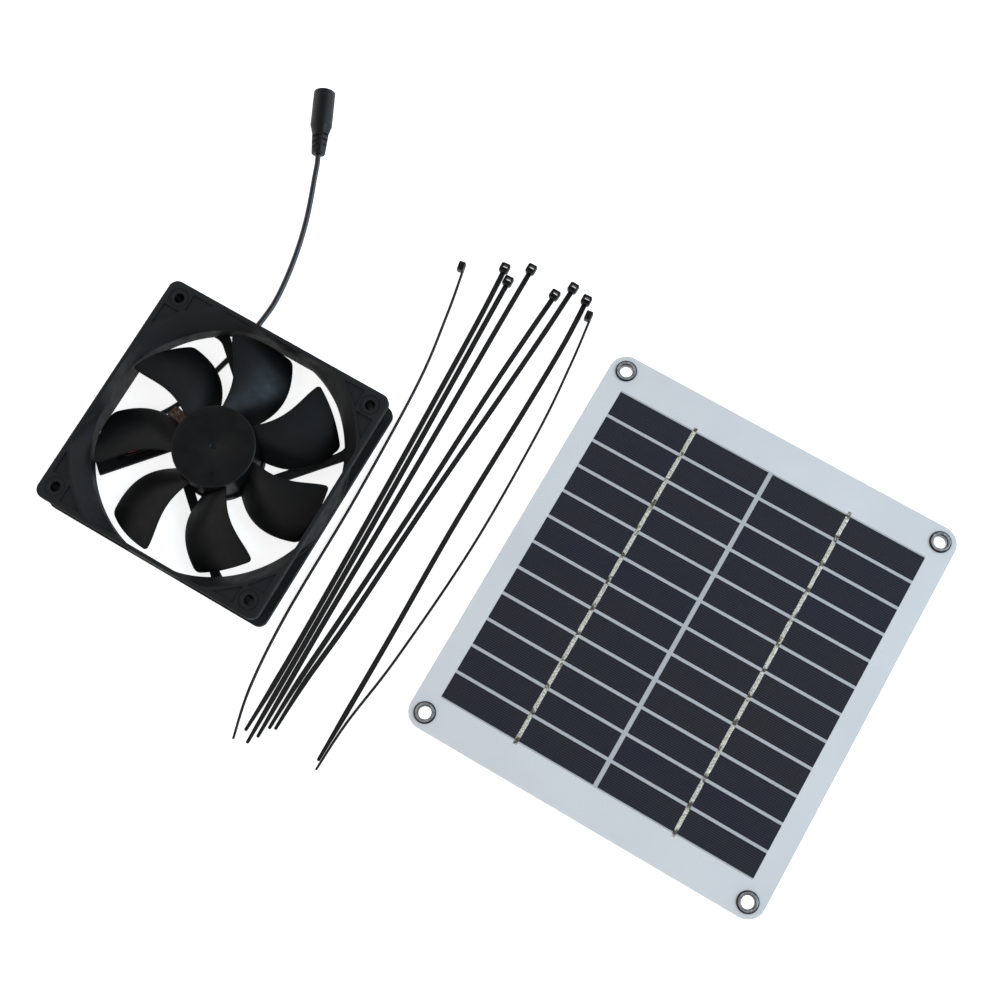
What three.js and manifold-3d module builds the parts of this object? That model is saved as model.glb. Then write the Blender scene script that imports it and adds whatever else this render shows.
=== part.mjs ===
// Solar attic fan kit: a 120 mm axial fan with its lead and socket, a bunch of
// cable ties, and a small frameless solar panel that stands on its junction box.
// Millimetres, +Z up. The kit lies on the plane z = 0.
import * as THREE from 'three';
import { mergeVertices } from 'three/addons/utils/BufferGeometryUtils.js';
import Module from 'manifold-3d';

const wasm = await Module();
wasm.setup();

// ---------------------------------------------------------------- driving sizes

const GAP = 0.05; // clearance between separate pieces that rest on each other

// The kit's box is centred on the origin: each group is placed by its own centre.
const FAN_AT = [-128.7, -24.3];
const PANEL_AT = [98.7, 12.8];

const FAN = {
  side: 120, depth: 25, cornerRadius: 4.5, flange: 4,
  holePitch: 105, holeRadius: 2.4, bossRadius: 4.7, postRadius: 4.4,
  ductInner: 59.3, ductOuter: 60.7,
  flareRadius: 66, flareFrom: 14, rearFlareRadius: 62.6, rearFlareTo: 5, sideWall: 1.9,
  pocketDepth: 0.6, pocketInset: 2.8, pocketReach: 36,
};
const BASE = {
  bottom: 0.4, floor: 2.4, radius: 20.6, rimInner: 19, rimTop: 5.2,
  bossInner: 4.55, bossOuter: 6.2, bossTop: 4,
};
// Four straight struts run from the motor base out to the duct.
const STRUT = {
  count: 4, inner: [19, -40.5], outer: [59.9, 30.9], width: 4.5, bottom: 2.9, top: 5.2,
  fillet: [[51.9, 1], [51.9, 2.2], [54.5, 2.6], [56.5, 3.5], [58.2, 4.95], [56.9, 1]],
};
// One strut is wider, between two edges beside its line, and has a channel for the two
// wires, with a way out in one side wall.
const CHANNEL = {
  strut: 2, edges: [0.6, 8.4], line: 3, width: 2.9, floor: 3.75, from: 8, to: 46.5, outFrom: 40, outTo: 46.5,
};
const NOTCH = { at: [-21.55, 57], towards: [0.9, 7.4], length: 16, width: 3.4, top: 2.8 };

const HUB = { radius: 19.7, wall: 1.6, bottom: 5.6, top: 24, bevel: 0.9, crown: 1.8 };
const BLADE = {
  count: 7, rootRadius: 18.8, tipRadius: 56.4, thickness: 1.5,
  leadingTop: [20.8, 19.4], trailingBottom: [6.3, 6.3], camber: 0.5,
  stations: 5, steps: 5,
};
// Angles in degrees of the first blade's two edges, at four radii.
const EDGE_RADII = [18.8, 31, 43, 56];
const LEADING_EDGE = [114, 108.1, 110.9, 114.2];
const TRAILING_EDGE = [73.8, 69.2, 74.2, 84.6];

const SHAFT = { radius: 1.5, bottom: 3.2, top: 21.6, grooveRadius: 1.15, groove: [4.1, 4.7] };
const SLEEVE = { inner: 3, bottom: 17.6 }; // the hub's inner sleeve, which grips the shaft
const YOKE = { inner: 17, outer: 18, bottom: 7.2, top: 22.1, hole: 4, roof: 1 };
const MAGNET = { inner: 15.2, outer: 16.85, bottom: 8, top: 19.5 };
const BEARING = { tube: [3.4, 4.4], tubeTop: 17.4, sleeve: 3.3, from: 4.9, to: 16.6 };
const STATOR = { bottom: 8.9, top: 17.1, poles: 4, neck: 4, ring: 7, shoe: [12.2, 14.3], shoeHalf: 35 };
const COIL = { from: 7.2, to: 11.2, inner: 2.5, thick: 2, low: 7.8, high: 18.2 };
const BOARD = { radius: 17.5, bore: 4.6, bottom: 4.1, top: 5.1, tabAngle: 166.8, tabReach: 33.6, tabWidth: 6.2 };

const LEAD_RADIUS = 1.35;
const WIRE_RADIUS = 0.55;
// Route of the lead, from the channel strut under the fan and out through the notch
// in the rear flange to the socket, from the fan's centre.
const LEAD_ROUTE = [
  [-45.9, -17.2, 1.8], [-46.6, -12.6, 1.45], [-44.8, -7, 1.38], [-41.2, -1.7, 1.38],
  [-37.1, 4, 1.38], [-33.1, 11, 1.38], [-29.8, 20, 1.38], [-27.3, 29, 1.38],
  [-25.3, 37.5, 1.38], [-23.4, 45.6, 1.38], [-22, 53.6, 1.38], [-21.1, 61, 1.38],
  [-20.2, 69.4, 1.38], [-19.9, 78, 1.38], [-20.9, 88, 1.38], [-22.9, 99.5, 1.38],
  [-25.9, 112, 1.38], [-29.6, 124, 1.6], [-33.4, 134.6, 2.8], [-36.2, 142.2, 4.4],
  [-38.6, 148.7, 5.2], [-40.7, 153, 5.3],
];
const SOCKET = {
  relief: 11.5, cone: 3.5, barrel: 18.6, reliefRadii: [3.4, 4.1], barrelRadius: 5.3,
  mouthRadius: 2.85, mouthDepth: 10, pinRadius: 1.05, sleeveWall: 0.35,
};

const TIE = { width: 2.5, thick: 1, tail: 24, tailWidth: 1.5, steps: 10 };
const TIE_HEAD = { width: 4.6, length: 4.8, height: 3.2, slotWidth: 2.7, slotLength: 1.3 };
// Each tie runs from its head to its tip, from the fan's centre. Sway is how far it
// bows sideways at each of the fractions; a tie on edge stands on its narrow side.
const SWAY_AT = [0.1, 0.25, 0.5, 0.75, 0.9];
const TIES = [
  { head: [50.6, 138.9], tip: [75, -108.9], sway: [2.65, 4.6, 1.8, -3.35, -3.6], onEdge: true },
  { head: [67.9, 148.7], tip: [77.6, -103], sway: [0.95, 1.45, 1.85, 1.7, 1.1], onEdge: false },
  { head: [72.65, 143.7], tip: [81.3, -107.4], sway: [0.17, 0.54, 0.88, 0.66, 0.24], onEdge: false },
  { head: [79.3, 154.6], tip: [84, -102.8], sway: [-0.05, 0.1, 0.2, -0.25, -0.1], onEdge: false },
  { head: [95.7, 148.8], tip: [86.5, -96.9], sway: [-0.5, -0.75, -0.1, -0.35, -0.7], onEdge: false },
  { head: [101.7, 156.3], tip: [89.1, -95.7], sway: [0.35, 0.2, -0.5, 0.05, -0.85], onEdge: false },
  { head: [110.3, 154], tip: [113.4, -97.9], sway: [1.1, 0.75, -0.55, 0.1, 0.15], onEdge: false },
  { head: [116.4, 147.4], tip: [114.9, -101.8], sway: [3.45, 6.85, 8.35, 5.1, 0.85], onEdge: true },
];

const PANEL = {
  width: 180, height: 200, cornerRadius: 8.5,
  board: [9, 10.3], sheet: [10.35, 10.95], film: [11, 11.4],
  holeRadius: 3.6, holePitch: [164, 184.8],
};
const CELLS = { rows: 12, width: 78.2, height: 12.3, rowGap: 1.55, columnGap: 2.2, bottom: 10.4, top: 10.65 };
const RIBBON = { width: 1.9, top: 10.85, overhang: 2 };
const EYELET = { inner: 3, barrel: 3.45, flange: 5.1, bottom: 7.6, face: 11.45, top: 12.15 };
const EYELET_CURL = { width: 0.9, top: 8.25 }; // the rolled rim under the washer
const EYELET_WASHER = { inner: 3.55, outer: 5.3, bottom: 8.3 };
const BOX = { width: 64, depth: 44, wall: 2, lid: [0, 1.6], body: [1.65, 8.95], roof: 1.6, post: 3.4 };
const SCREW = { radius: 1.4, headRadius: 2.6, head: [0.1, 0.7], top: 6.5, inset: 4.4 };
const GLAND = { outer: 2.3, bore: 1.5, flange: 2.75, nut: 1.4, reach: 8, height: 4.5 };
const DIODE = { radius: 1.35, half: 2.6, leadRadius: 0.4, reach: 7, height: 5.2 };
const TERMINAL = { x: 11, y: 4, width: 7, depth: 9, bottom: 3.4, top: 7.2 };

// ---------------------------------------------------------------- helpers

const radians = THREE.MathUtils.degToRad;
const polar = (radius, degrees) => [radius * Math.cos(radians(degrees)), radius * Math.sin(radians(degrees))];

function plastic(color, roughness) {
  return new THREE.MeshStandardMaterial({ color, roughness, metalness: 0 });
}

function metal(color, roughness) {
  return new THREE.MeshStandardMaterial({ color, roughness, metalness: 1 });
}

// A solid that can be cut and joined, from any closed geometry.
function solid(geometry) {
  geometry.deleteAttribute('normal');
  geometry.deleteAttribute('uv');
  const merged = mergeVertices(geometry, 1e-4);
  const index = merged.index.array;
  const triangles = [];
  for (let i = 0; i < index.length; i += 3) {
    const [a, b, c] = [index[i], index[i + 1], index[i + 2]];
    if (a !== b && b !== c && c !== a) triangles.push(a, b, c);
  }
  const vertProperties = new Float32Array(merged.attributes.position.array);
  const triVerts = new Uint32Array(triangles);
  return new wasm.Manifold(new wasm.Mesh({ numProp: 3, vertProperties, triVerts }));
}

function geometryOf(body) {
  const mesh = body.getMesh();
  const geometry = new THREE.BufferGeometry();
  geometry.setAttribute('position', new THREE.BufferAttribute(mesh.vertProperties, 3));
  geometry.setIndex(new THREE.BufferAttribute(mesh.triVerts, 1));
  geometry.computeVertexNormals();
  return geometry;
}

function addPart(parent, name, body, material) {
  const mesh = new THREE.Mesh(geometryOf(body), material);
  mesh.name = name;
  parent.add(mesh);
}

const joined = (bodies) => bodies.reduce((sum, body) => sum.add(body));

function prism(shape, bottom, top, curveSegments = 3) {
  const options = { depth: top - bottom, bevelEnabled: false, curveSegments };
  const geometry = new THREE.ExtrudeGeometry(shape, options);
  return solid(geometry.translate(0, 0, bottom));
}

function block(width, depth, bottom, top, x = 0, y = 0) {
  return solid(new THREE.BoxGeometry(width, depth, top - bottom).translate(x, y, (bottom + top) / 2));
}

function cylinder(radius, bottom, top, segments = 16, x = 0, y = 0) {
  const geometry = new THREE.CylinderGeometry(radius, radius, top - bottom, segments);
  return solid(geometry.rotateX(Math.PI / 2).translate(x, y, (bottom + top) / 2));
}

// Turns a closed profile of [radius, z] pairs about the Z axis.
function revolve(profile, segments = 16) {
  const points = profile.map(([radius, z]) => new THREE.Vector2(radius, z));
  return solid(new THREE.LatheGeometry(points, segments).rotateX(Math.PI / 2));
}

function tube(inner, outer, bottom, top, segments = 16) {
  const profile = [[inner, bottom], [outer, bottom], [outer, top], [inner, top], [inner, bottom]];
  return revolve(profile, segments);
}

function roundedRectangle(width, height, radius) {
  const [x, y] = [width / 2, height / 2];
  const shape = new THREE.Shape();
  shape.absarc(x - radius, y - radius, radius, 0, Math.PI / 2);
  shape.absarc(radius - x, y - radius, radius, Math.PI / 2, Math.PI);
  shape.absarc(radius - x, radius - y, radius, Math.PI, 1.5 * Math.PI);
  shape.absarc(x - radius, radius - y, radius, 1.5 * Math.PI, 2 * Math.PI);
  return shape;
}

function polygon(points) {
  return new THREE.Shape(points.map(([x, y]) => new THREE.Vector2(x, y)));
}

// A round cord along a smooth curve through the points.
function cord(points, radius, steps) {
  const path = new THREE.CatmullRomCurve3(points.map((p) => new THREE.Vector3(...p)));
  const section = new THREE.Shape();
  section.absarc(0, 0, radius, 0, 2 * Math.PI);
  const options = { steps, extrudePath: path, curveSegments: 4, bevelEnabled: false };
  return solid(new THREE.ExtrudeGeometry(section, options));
}

// A closed body through rings of points. Each ring runs out along one side and back
// along the other, so its two halves face each other and make the end caps.
function loft(rings) {
  const size = rings[0].length;
  const index = [];
  const quad = (a, b, c, d) => index.push(a, c, b, a, d, c);
  for (let ring = 0; ring + 1 < rings.length; ring++) {
    for (let i = 0; i < size; i++) {
      const next = (i + 1) % size;
      quad(ring * size + i, ring * size + next, (ring + 1) * size + next, (ring + 1) * size + i);
    }
  }
  const last = (rings.length - 1) * size;
  for (let i = 0; i + 1 < size / 2; i++) {
    quad(size - 1 - i, size - 2 - i, i + 1, i);
    quad(last + i, last + i + 1, last + size - 2 - i, last + size - 1 - i);
  }
  const geometry = new THREE.BufferGeometry();
  geometry.setAttribute('position', new THREE.Float32BufferAttribute(rings.flat(2), 3));
  geometry.setIndex(index);
  return solid(geometry);
}

// ---------------------------------------------------------------- fan frame

function flange(bottom, top) {
  return prism(roundedRectangle(FAN.side, FAN.side, FAN.cornerRadius), bottom, top);
}

// The duct's outside follows its flare, within the flat sides of the frame.
function ductOutside() {
  const slope = (FAN.flareRadius - FAN.ductInner) / (FAN.depth - FAN.flareFrom);
  const top = FAN.depth - FAN.flange / 2;
  const body = revolve([
    [0, 1], [FAN.ductOuter, 1], [FAN.ductOuter, FAN.flareFrom],
    [FAN.ductOuter + slope * (top - FAN.flareFrom), top], [0, top],
  ], 48);
  return body.intersect(block(FAN.side, FAN.side, 0, FAN.depth));
}

// The air way: a bore with an intake flare and a shorter exhaust flare, both of
// which stop short of the frame's flat sides.
function ductInside() {
  const slope = (FAN.flareRadius - FAN.ductInner) / (FAN.depth - FAN.flareFrom);
  const rearSlope = (FAN.rearFlareRadius - FAN.ductInner) / FAN.rearFlareTo;
  const flares = revolve([
    [0, -1], [FAN.rearFlareRadius + rearSlope, -1], [FAN.ductInner, FAN.rearFlareTo],
    [FAN.ductInner, FAN.flareFrom], [FAN.flareRadius + slope, FAN.depth + 1], [0, FAN.depth + 1],
  ], 48);
  const inside = FAN.side - 2 * FAN.sideWall;
  return flares.intersect(block(inside, inside, -2, FAN.depth + 2));
}

// A shallow three-cornered recess beside a screw hole, in the first corner.
function pocket(bottom, top) {
  const edge = FAN.side / 2 - FAN.pocketInset;
  const nearHole = FAN.holePitch / 2 - FAN.bossRadius - 0.8;
  const arcX = Math.sqrt((FAN.flareRadius + 1.6) ** 2 - nearHole ** 2);
  return prism(polygon([[edge, FAN.pocketReach], [edge, nearHole], [arcX, nearHole]]), bottom, top);
}

function corners(body) {
  return [0, 90, 180, 270].map((turn) => body.rotate([0, 0, turn]));
}

function fanFrame() {
  const half = FAN.holePitch / 2;
  const sides = [flange(0, FAN.flange), flange(FAN.depth - FAN.flange, FAN.depth)];
  const posts = corners(cylinder(FAN.postRadius, 1, FAN.depth - 1, 12, half, half));
  let frame = joined([...sides, ductOutside(), ...posts]).subtract(ductInside());
  const hole = cylinder(FAN.holeRadius, -1, FAN.depth + 1, 12, half, half);
  const recess = pocket(FAN.depth - FAN.pocketDepth, FAN.depth + 1);
  const rearRecess = pocket(-1, FAN.pocketDepth);
  const mirrored = [recess, rearRecess].map((body) => body.mirror([1, -1, 0]));
  frame = frame.subtract(joined([hole, recess, rearRecess, ...mirrored].flatMap(corners)));

  frame = joined([frame, motorBase(), ...struts(), tabLedge()]);
  return frame.subtract(joined([tabSlot(), wireChannel(), cableNotch()]));
}

// A ledge on the motor base carries the circuit board's tab, which passes its rim.
function tabLedge() {
  const length = BOARD.tabReach - BASE.rimInner;
  const ledge = block(length, BOARD.tabWidth, STRUT.bottom, BOARD.bottom - GAP, BASE.rimInner + length / 2, 0);
  return ledge.rotate([0, 0, BOARD.tabAngle]);
}

function tabSlot() {
  const slot = block(9, BOARD.tabWidth + 0.6, BOARD.bottom - GAP, BASE.rimTop + 1, BASE.radius + 1.2, 0);
  return slot.rotate([0, 0, BOARD.tabAngle]);
}

function motorBase() {
  const rim = tube(BASE.rimInner, BASE.radius, BASE.floor - 0.5, BASE.rimTop, 32);
  const boss = tube(BASE.bossInner, BASE.bossOuter, BASE.floor - 0.5, BASE.bossTop);
  return joined([cylinder(BASE.radius, BASE.bottom, BASE.floor, 32), rim, boss]);
}

// A body laid out along +X is moved so that it starts at a strut's inner end.
function alongStrut(body, number) {
  const [x, y] = polar(...STRUT.inner);
  const turn = [0, 0, (number * 360) / STRUT.count];
  return body.rotate([0, 0, strutDirection()]).translate([x, y, 0]).rotate(turn);
}

function strutLength() {
  const [a, b] = [polar(...STRUT.inner), polar(...STRUT.outer)];
  return Math.hypot(b[0] - a[0], b[1] - a[1]);
}

function strutDirection() {
  const [a, b] = [polar(...STRUT.inner), polar(...STRUT.outer)];
  return THREE.MathUtils.radToDeg(Math.atan2(b[1] - a[1], b[0] - a[0]));
}

function struts() {
  const length = strutLength();
  const bar = block(length, STRUT.width, STRUT.bottom, STRUT.top, length / 2, 0);
  const plain = bar.add(prism(polygon(STRUT.fillet), STRUT.bottom, STRUT.top));
  const [low, high] = CHANNEL.edges;
  const wide = block(length, high - low, STRUT.bottom, STRUT.top, length / 2, (low + high) / 2);
  const inside = cylinder(BASE.rimInner, BASE.floor, BASE.rimTop + 1, 32);
  return Array.from({ length: STRUT.count }, (_, number) => (
    alongStrut(number === CHANNEL.strut ? wide : plain, number).subtract(inside)
  ));
}

function wireChannel() {
  const length = CHANNEL.to - CHANNEL.from;
  const groove = block(length, CHANNEL.width, CHANNEL.floor, 8, CHANNEL.from + length / 2, CHANNEL.line);
  const outLength = CHANNEL.outTo - CHANNEL.outFrom;
  const wayOut = block(outLength, STRUT.width, CHANNEL.floor, 8, CHANNEL.outFrom + outLength / 2, 0.9);
  return alongStrut(groove.add(wayOut), CHANNEL.strut);
}

// The lead leaves through this notch in the underside of the rear flange.
function cableNotch() {
  const turn = THREE.MathUtils.radToDeg(Math.atan2(NOTCH.towards[1], NOTCH.towards[0]));
  return block(NOTCH.length, NOTCH.width, -1, NOTCH.top).rotate([0, 0, turn]).translate([...NOTCH.at, 0]);
}

// ---------------------------------------------------------------- rotor

// One section of a blade at a radius: trailing edge to leading edge and back.
function bladeSection(radius, leading, trailing) {
  const along = (radius - BLADE.rootRadius) / (BLADE.tipRadius - BLADE.rootRadius);
  const high = THREE.MathUtils.lerp(...BLADE.leadingTop, along);
  const low = THREE.MathUtils.lerp(...BLADE.trailingBottom, along);
  const half = THREE.MathUtils.lerp(BLADE.thickness, BLADE.thickness * 0.7, along) / 2;
  const upper = [];
  const lower = [];
  for (let step = 0; step <= BLADE.steps; step++) {
    const s = step / BLADE.steps; // 0 at the trailing edge, 1 at the leading edge
    const angle = THREE.MathUtils.lerp(trailing, leading, s);
    const back = 1 - s;
    const z = high - (high - low) * (BLADE.camber * back + (1 - BLADE.camber) * back * back);
    const thick = half * (0.45 + 0.55 * Math.sin(Math.PI * s));
    upper.push([...polar(radius, angle), z + thick]);
    lower.unshift([...polar(radius, angle), z - thick]);
  }
  return [...upper, ...lower];
}

function blade() {
  const leading = new THREE.CubicInterpolant(EDGE_RADII, LEADING_EDGE, 1);
  const trailing = new THREE.CubicInterpolant(EDGE_RADII, TRAILING_EDGE, 1);
  const rings = [];
  for (let station = 0; station <= BLADE.stations; station++) {
    const radius = THREE.MathUtils.lerp(BLADE.rootRadius, BLADE.tipRadius, station / BLADE.stations);
    rings.push(bladeSection(radius, leading.evaluate(radius)[0], trailing.evaluate(radius)[0]));
  }
  return loft(rings);
}

function impeller() {
  const inner = HUB.radius - HUB.wall;
  const under = HUB.top - HUB.crown;
  const hub = revolve([
    [0, SHAFT.top + 0.1], [SHAFT.radius + GAP, SHAFT.top + 0.1],
    [SHAFT.radius + GAP, SLEEVE.bottom], [SLEEVE.inner, SLEEVE.bottom],
    [SLEEVE.inner, under], [inner, under], [inner, HUB.bottom], [HUB.radius, HUB.bottom],
    [HUB.radius, HUB.top - HUB.bevel], [HUB.radius - HUB.bevel, HUB.top],
    [1.4, HUB.top], [0, HUB.top - 0.3],
  ], 32);
  const blades = [];
  for (let number = 0; number < BLADE.count; number++) {
    blades.push(blade().rotate([0, 0, (number * 360) / BLADE.count]));
  }
  return joined([hub, ...blades]);
}

function rotorYoke() {
  const { inner, outer, bottom, top, hole, roof } = YOKE;
  return revolve([
    [inner, bottom], [outer, bottom], [outer, top], [hole, top], [hole, top - roof],
    [inner, top - roof], [inner, bottom],
  ], 32);
}

function rotorShaft() {
  const { radius, bottom, top, grooveRadius, groove } = SHAFT;
  return revolve([
    [0, bottom], [radius - 0.3, bottom], [radius, bottom + 0.3], [radius, groove[0]],
    [grooveRadius, groove[0]], [grooveRadius, groove[1]], [radius, groove[1]], [radius, top], [0, top],
  ]);
}

function buildRotor(parent) {
  addPart(parent, 'impeller', impeller(), plastic(0x1b1d20, 0.5));
  addPart(parent, 'rotor_yoke', rotorYoke(), metal(0x8f9396, 0.4));
  const magnet = tube(MAGNET.inner, MAGNET.outer, MAGNET.bottom, MAGNET.top, 32);
  addPart(parent, 'rotor_magnet', magnet, plastic(0x2a2624, 0.7));
  addPart(parent, 'rotor_shaft', rotorShaft(), metal(0xc8cacc, 0.2));
  const [low, high] = SHAFT.groove;
  const clip = tube(SHAFT.grooveRadius + 0.1, 2.9, low + 0.1, high - 0.1);
  addPart(parent, 'shaft_clip', clip, plastic(0xe6e2d6, 0.5));
}

// ---------------------------------------------------------------- motor

function poleStar(bottom, top, ring, neck, shoe) {
  const star = [tube(BOARD.bore, ring, bottom, top)];
  for (let pole = 0; pole < STATOR.poles; pole++) {
    const turn = [0, 0, (pole * 360) / STATOR.poles];
    const reach = shoe[0] + 0.3;
    const arm = block(reach - ring + 1, neck, bottom, top, (reach + ring - 1) / 2, 0);
    star.push(arm.rotate(turn), poleShoe(bottom, top, shoe).rotate(turn));
  }
  return joined(star);
}

function poleShoe(bottom, top, [inner, outer]) {
  const half = radians(STATOR.shoeHalf);
  const shape = new THREE.Shape();
  shape.absarc(0, 0, outer, -half, half, false);
  shape.absarc(0, 0, inner, half, -half, true);
  return prism(shape, bottom, top, 2);
}

// A winding: a rounded loop round one pole's neck.
function coil(pole) {
  const height = COIL.high - COIL.low;
  const loop = roundedRectangle(2 * (COIL.inner + COIL.thick), height + 2 * COIL.thick, COIL.thick);
  const ring = prism(loop, 0, COIL.to - COIL.from, 3);
  const window = block(2 * COIL.inner, height, -1, COIL.to);
  const upright = ring.subtract(window).rotate([90, 0, 90]);
  const placed = upright.translate([COIL.from, 0, (COIL.low + COIL.high) / 2]);
  return placed.rotate([0, 0, (pole * 360) / STATOR.poles]);
}

function lowerInsulator() {
  const collar = tube(BOARD.bore, 6, BOARD.top + GAP, STATOR.bottom - 0.5);
  return collar.add(poleStar(8, STATOR.bottom - GAP, STATOR.ring - 0.1, STATOR.neck + 0.6, [12.3, 13.4]));
}

function upperInsulator() {
  return poleStar(STATOR.top + GAP, 18, STATOR.ring - 0.1, STATOR.neck + 0.6, [12.3, 13.4]);
}

// The circuit board is a ring with a tab that reaches out past the hub.
function circuitBoard() {
  const tabLength = BOARD.tabReach - BOARD.radius + 2;
  const middle = BOARD.tabReach - tabLength / 2;
  const tab = block(tabLength, BOARD.tabWidth - 0.4, BOARD.bottom, BOARD.top, middle, 0);
  return tube(BOARD.bore, BOARD.radius, BOARD.bottom, BOARD.top, 32).add(tab.rotate([0, 0, BOARD.tabAngle]));
}

function onBoard(body, radius, degrees) {
  return body.translate([radius, 0, BOARD.top + GAP]).rotate([0, 0, degrees]);
}

function buildMotor(parent) {
  const copper = metal(0xb5622d, 0.4);
  const housing = tube(...BEARING.tube, BASE.floor + 0.1, BEARING.tubeTop);
  const bearing = tube(SHAFT.radius + 0.06, BEARING.sleeve, BEARING.from, BEARING.to);
  const pad = cylinder(BEARING.tube[0] - 0.2, BASE.floor + GAP, SHAFT.bottom - GAP);
  addPart(parent, 'bearing_tube', housing, metal(0xc9a24b, 0.35));
  addPart(parent, 'sleeve_bearing', bearing, metal(0xa8743c, 0.45));
  addPart(parent, 'thrust_pad', pad, plastic(0xe6e2d6, 0.5));
  const core = poleStar(STATOR.bottom, STATOR.top, STATOR.ring, STATOR.neck, STATOR.shoe);
  addPart(parent, 'stator_core', core, metal(0x8d9093, 0.5));
  addPart(parent, 'insulator_lower', lowerInsulator(), plastic(0xd9d6cb, 0.5));
  addPart(parent, 'insulator_upper', upperInsulator(), plastic(0xd9d6cb, 0.5));
  for (let pole = 0; pole < STATOR.poles; pole++) addPart(parent, `coil_${pole + 1}`, coil(pole), copper);
  addPart(parent, 'circuit_board', circuitBoard(), plastic(0xa9835b, 0.6));
  addPart(parent, 'hall_sensor', onBoard(block(1.5, 4, 0, 3), 12.9, 45), plastic(0x18181a, 0.4));
  addPart(parent, 'driver_chip', onBoard(block(4, 5, 0, 1), 12.4, -45), plastic(0x18181a, 0.4));
  addPart(parent, 'capacitor', onBoard(cylinder(2, 0, 2.8, 16), 12.4, 225), metal(0xb9bcc0, 0.35));
  addPart(parent, 'motor_label', cylinder(17.5, 0.12, 0.32, 32), plastic(0xcfd2d4, 0.4));
}

// ---------------------------------------------------------------- lead and socket

// A wire runs along the channel strut, out through its side wall and down to the lead.
// Side is 1 for the wire nearer that wall and -1 for the other.
function wire(side) {
  const turn = (CHANNEL.strut * 360) / STRUT.count;
  const along = new THREE.Vector2(...polar(1, strutDirection() + turn));
  const across = new THREE.Vector2(along.y, -along.x);
  const start = new THREE.Vector2(...polar(STRUT.inner[0], STRUT.inner[1] + turn));
  const place = (a, b, z) => {
    const point = start.clone().addScaledVector(along, a).addScaledVector(across, b);
    return [point.x, point.y, z];
  };
  const z = CHANNEL.floor + WIRE_RADIUS + GAP;
  const offset = 0.65 * side;
  return cord([
    place(13.3, offset - 3, z), place(25, offset - 3, z), place(38, offset - 3, z),
    place(41.6 - offset, offset - 2.6, z), place(43 - offset, -0.9, z), place(43.5 - offset, 1.9, 3.6),
    place(43.1 - 0.77 * offset, 4.34 - 0.58 * offset, 2),
  ], WIRE_RADIUS, 14);
}

function socketBody() {
  const { relief, cone, barrel, reliefRadii, barrelRadius, mouthRadius, mouthDepth, sleeveWall } = SOCKET;
  const shoulder = relief + cone;
  const mouth = shoulder + barrel;
  const floor = mouth - mouthDepth;
  const bore = mouthRadius + sleeveWall + 2 * GAP;
  const body = revolve([
    [0, 0], [reliefRadii[0] - 0.4, 0], [reliefRadii[0], 0.4], [reliefRadii[1], relief],
    [barrelRadius, shoulder], [barrelRadius, mouth - 0.5], [barrelRadius - 0.5, mouth],
    [bore, mouth], [bore, floor], [0, floor],
  ], 20);
  const slots = [];
  for (const [turn, shift] of [[0, 0], [90, 1.4], [180, 0], [270, 1.4]]) {
    for (const z of [2.2 + shift, 5 + shift, 7.8 + shift]) {
      slots.push(block(5.4, 1, z, z + 1.3, 0, 3.5).rotate([0, 0, turn]));
    }
  }
  return body.subtract(joined(slots));
}

function buildSocket(parent) {
  const [last, before] = [LEAD_ROUTE.at(-1), LEAD_ROUTE.at(-2)];
  const group = new THREE.Group();
  group.position.set(...last);
  const direction = new THREE.Vector3(last[0] - before[0], last[1] - before[1], 0).normalize();
  group.quaternion.setFromUnitVectors(new THREE.Vector3(0, 0, 1), direction);
  group.position.addScaledVector(direction, 0.3);
  parent.add(group);
  const mouth = SOCKET.relief + SOCKET.cone + SOCKET.barrel;
  const floor = mouth - SOCKET.mouthDepth + 0.3;
  const sleeve = tube(SOCKET.mouthRadius, SOCKET.mouthRadius + SOCKET.sleeveWall, floor, mouth - 0.4, 20);
  const pin = cylinder(SOCKET.pinRadius, floor, mouth - 1.5, 12);
  addPart(group, 'socket_body', socketBody(), plastic(0x141517, 0.45));
  addPart(group, 'socket_sleeve', sleeve, metal(0xb9bcc0, 0.3));
  addPart(group, 'socket_pin', pin, metal(0xb9bcc0, 0.3));
}

function buildFan(parent) {
  addPart(parent, 'fan_frame', fanFrame(), plastic(0x1d1f22, 0.55));
  buildRotor(parent);
  buildMotor(parent);
  addPart(parent, 'wire_red', wire(1), plastic(0xb3262b, 0.4));
  addPart(parent, 'wire_black', wire(-1), plastic(0x151517, 0.4));
  addPart(parent, 'fan_lead', cord(LEAD_ROUTE, LEAD_RADIUS, 32), plastic(0x1a1c22, 0.4));
  buildSocket(parent);
}

// ---------------------------------------------------------------- cable ties

function tieCurve({ head, tip, sway }) {
  const start = new THREE.Vector2(...head);
  const end = new THREE.Vector2(...tip);
  const line = end.clone().sub(start);
  const side = new THREE.Vector2(-line.y, line.x).normalize();
  const bowed = SWAY_AT.map((t, i) => start.clone().addScaledVector(line, t).addScaledVector(side, sway[i]));
  return new THREE.SplineCurve([start, ...bowed, end]);
}

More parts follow.
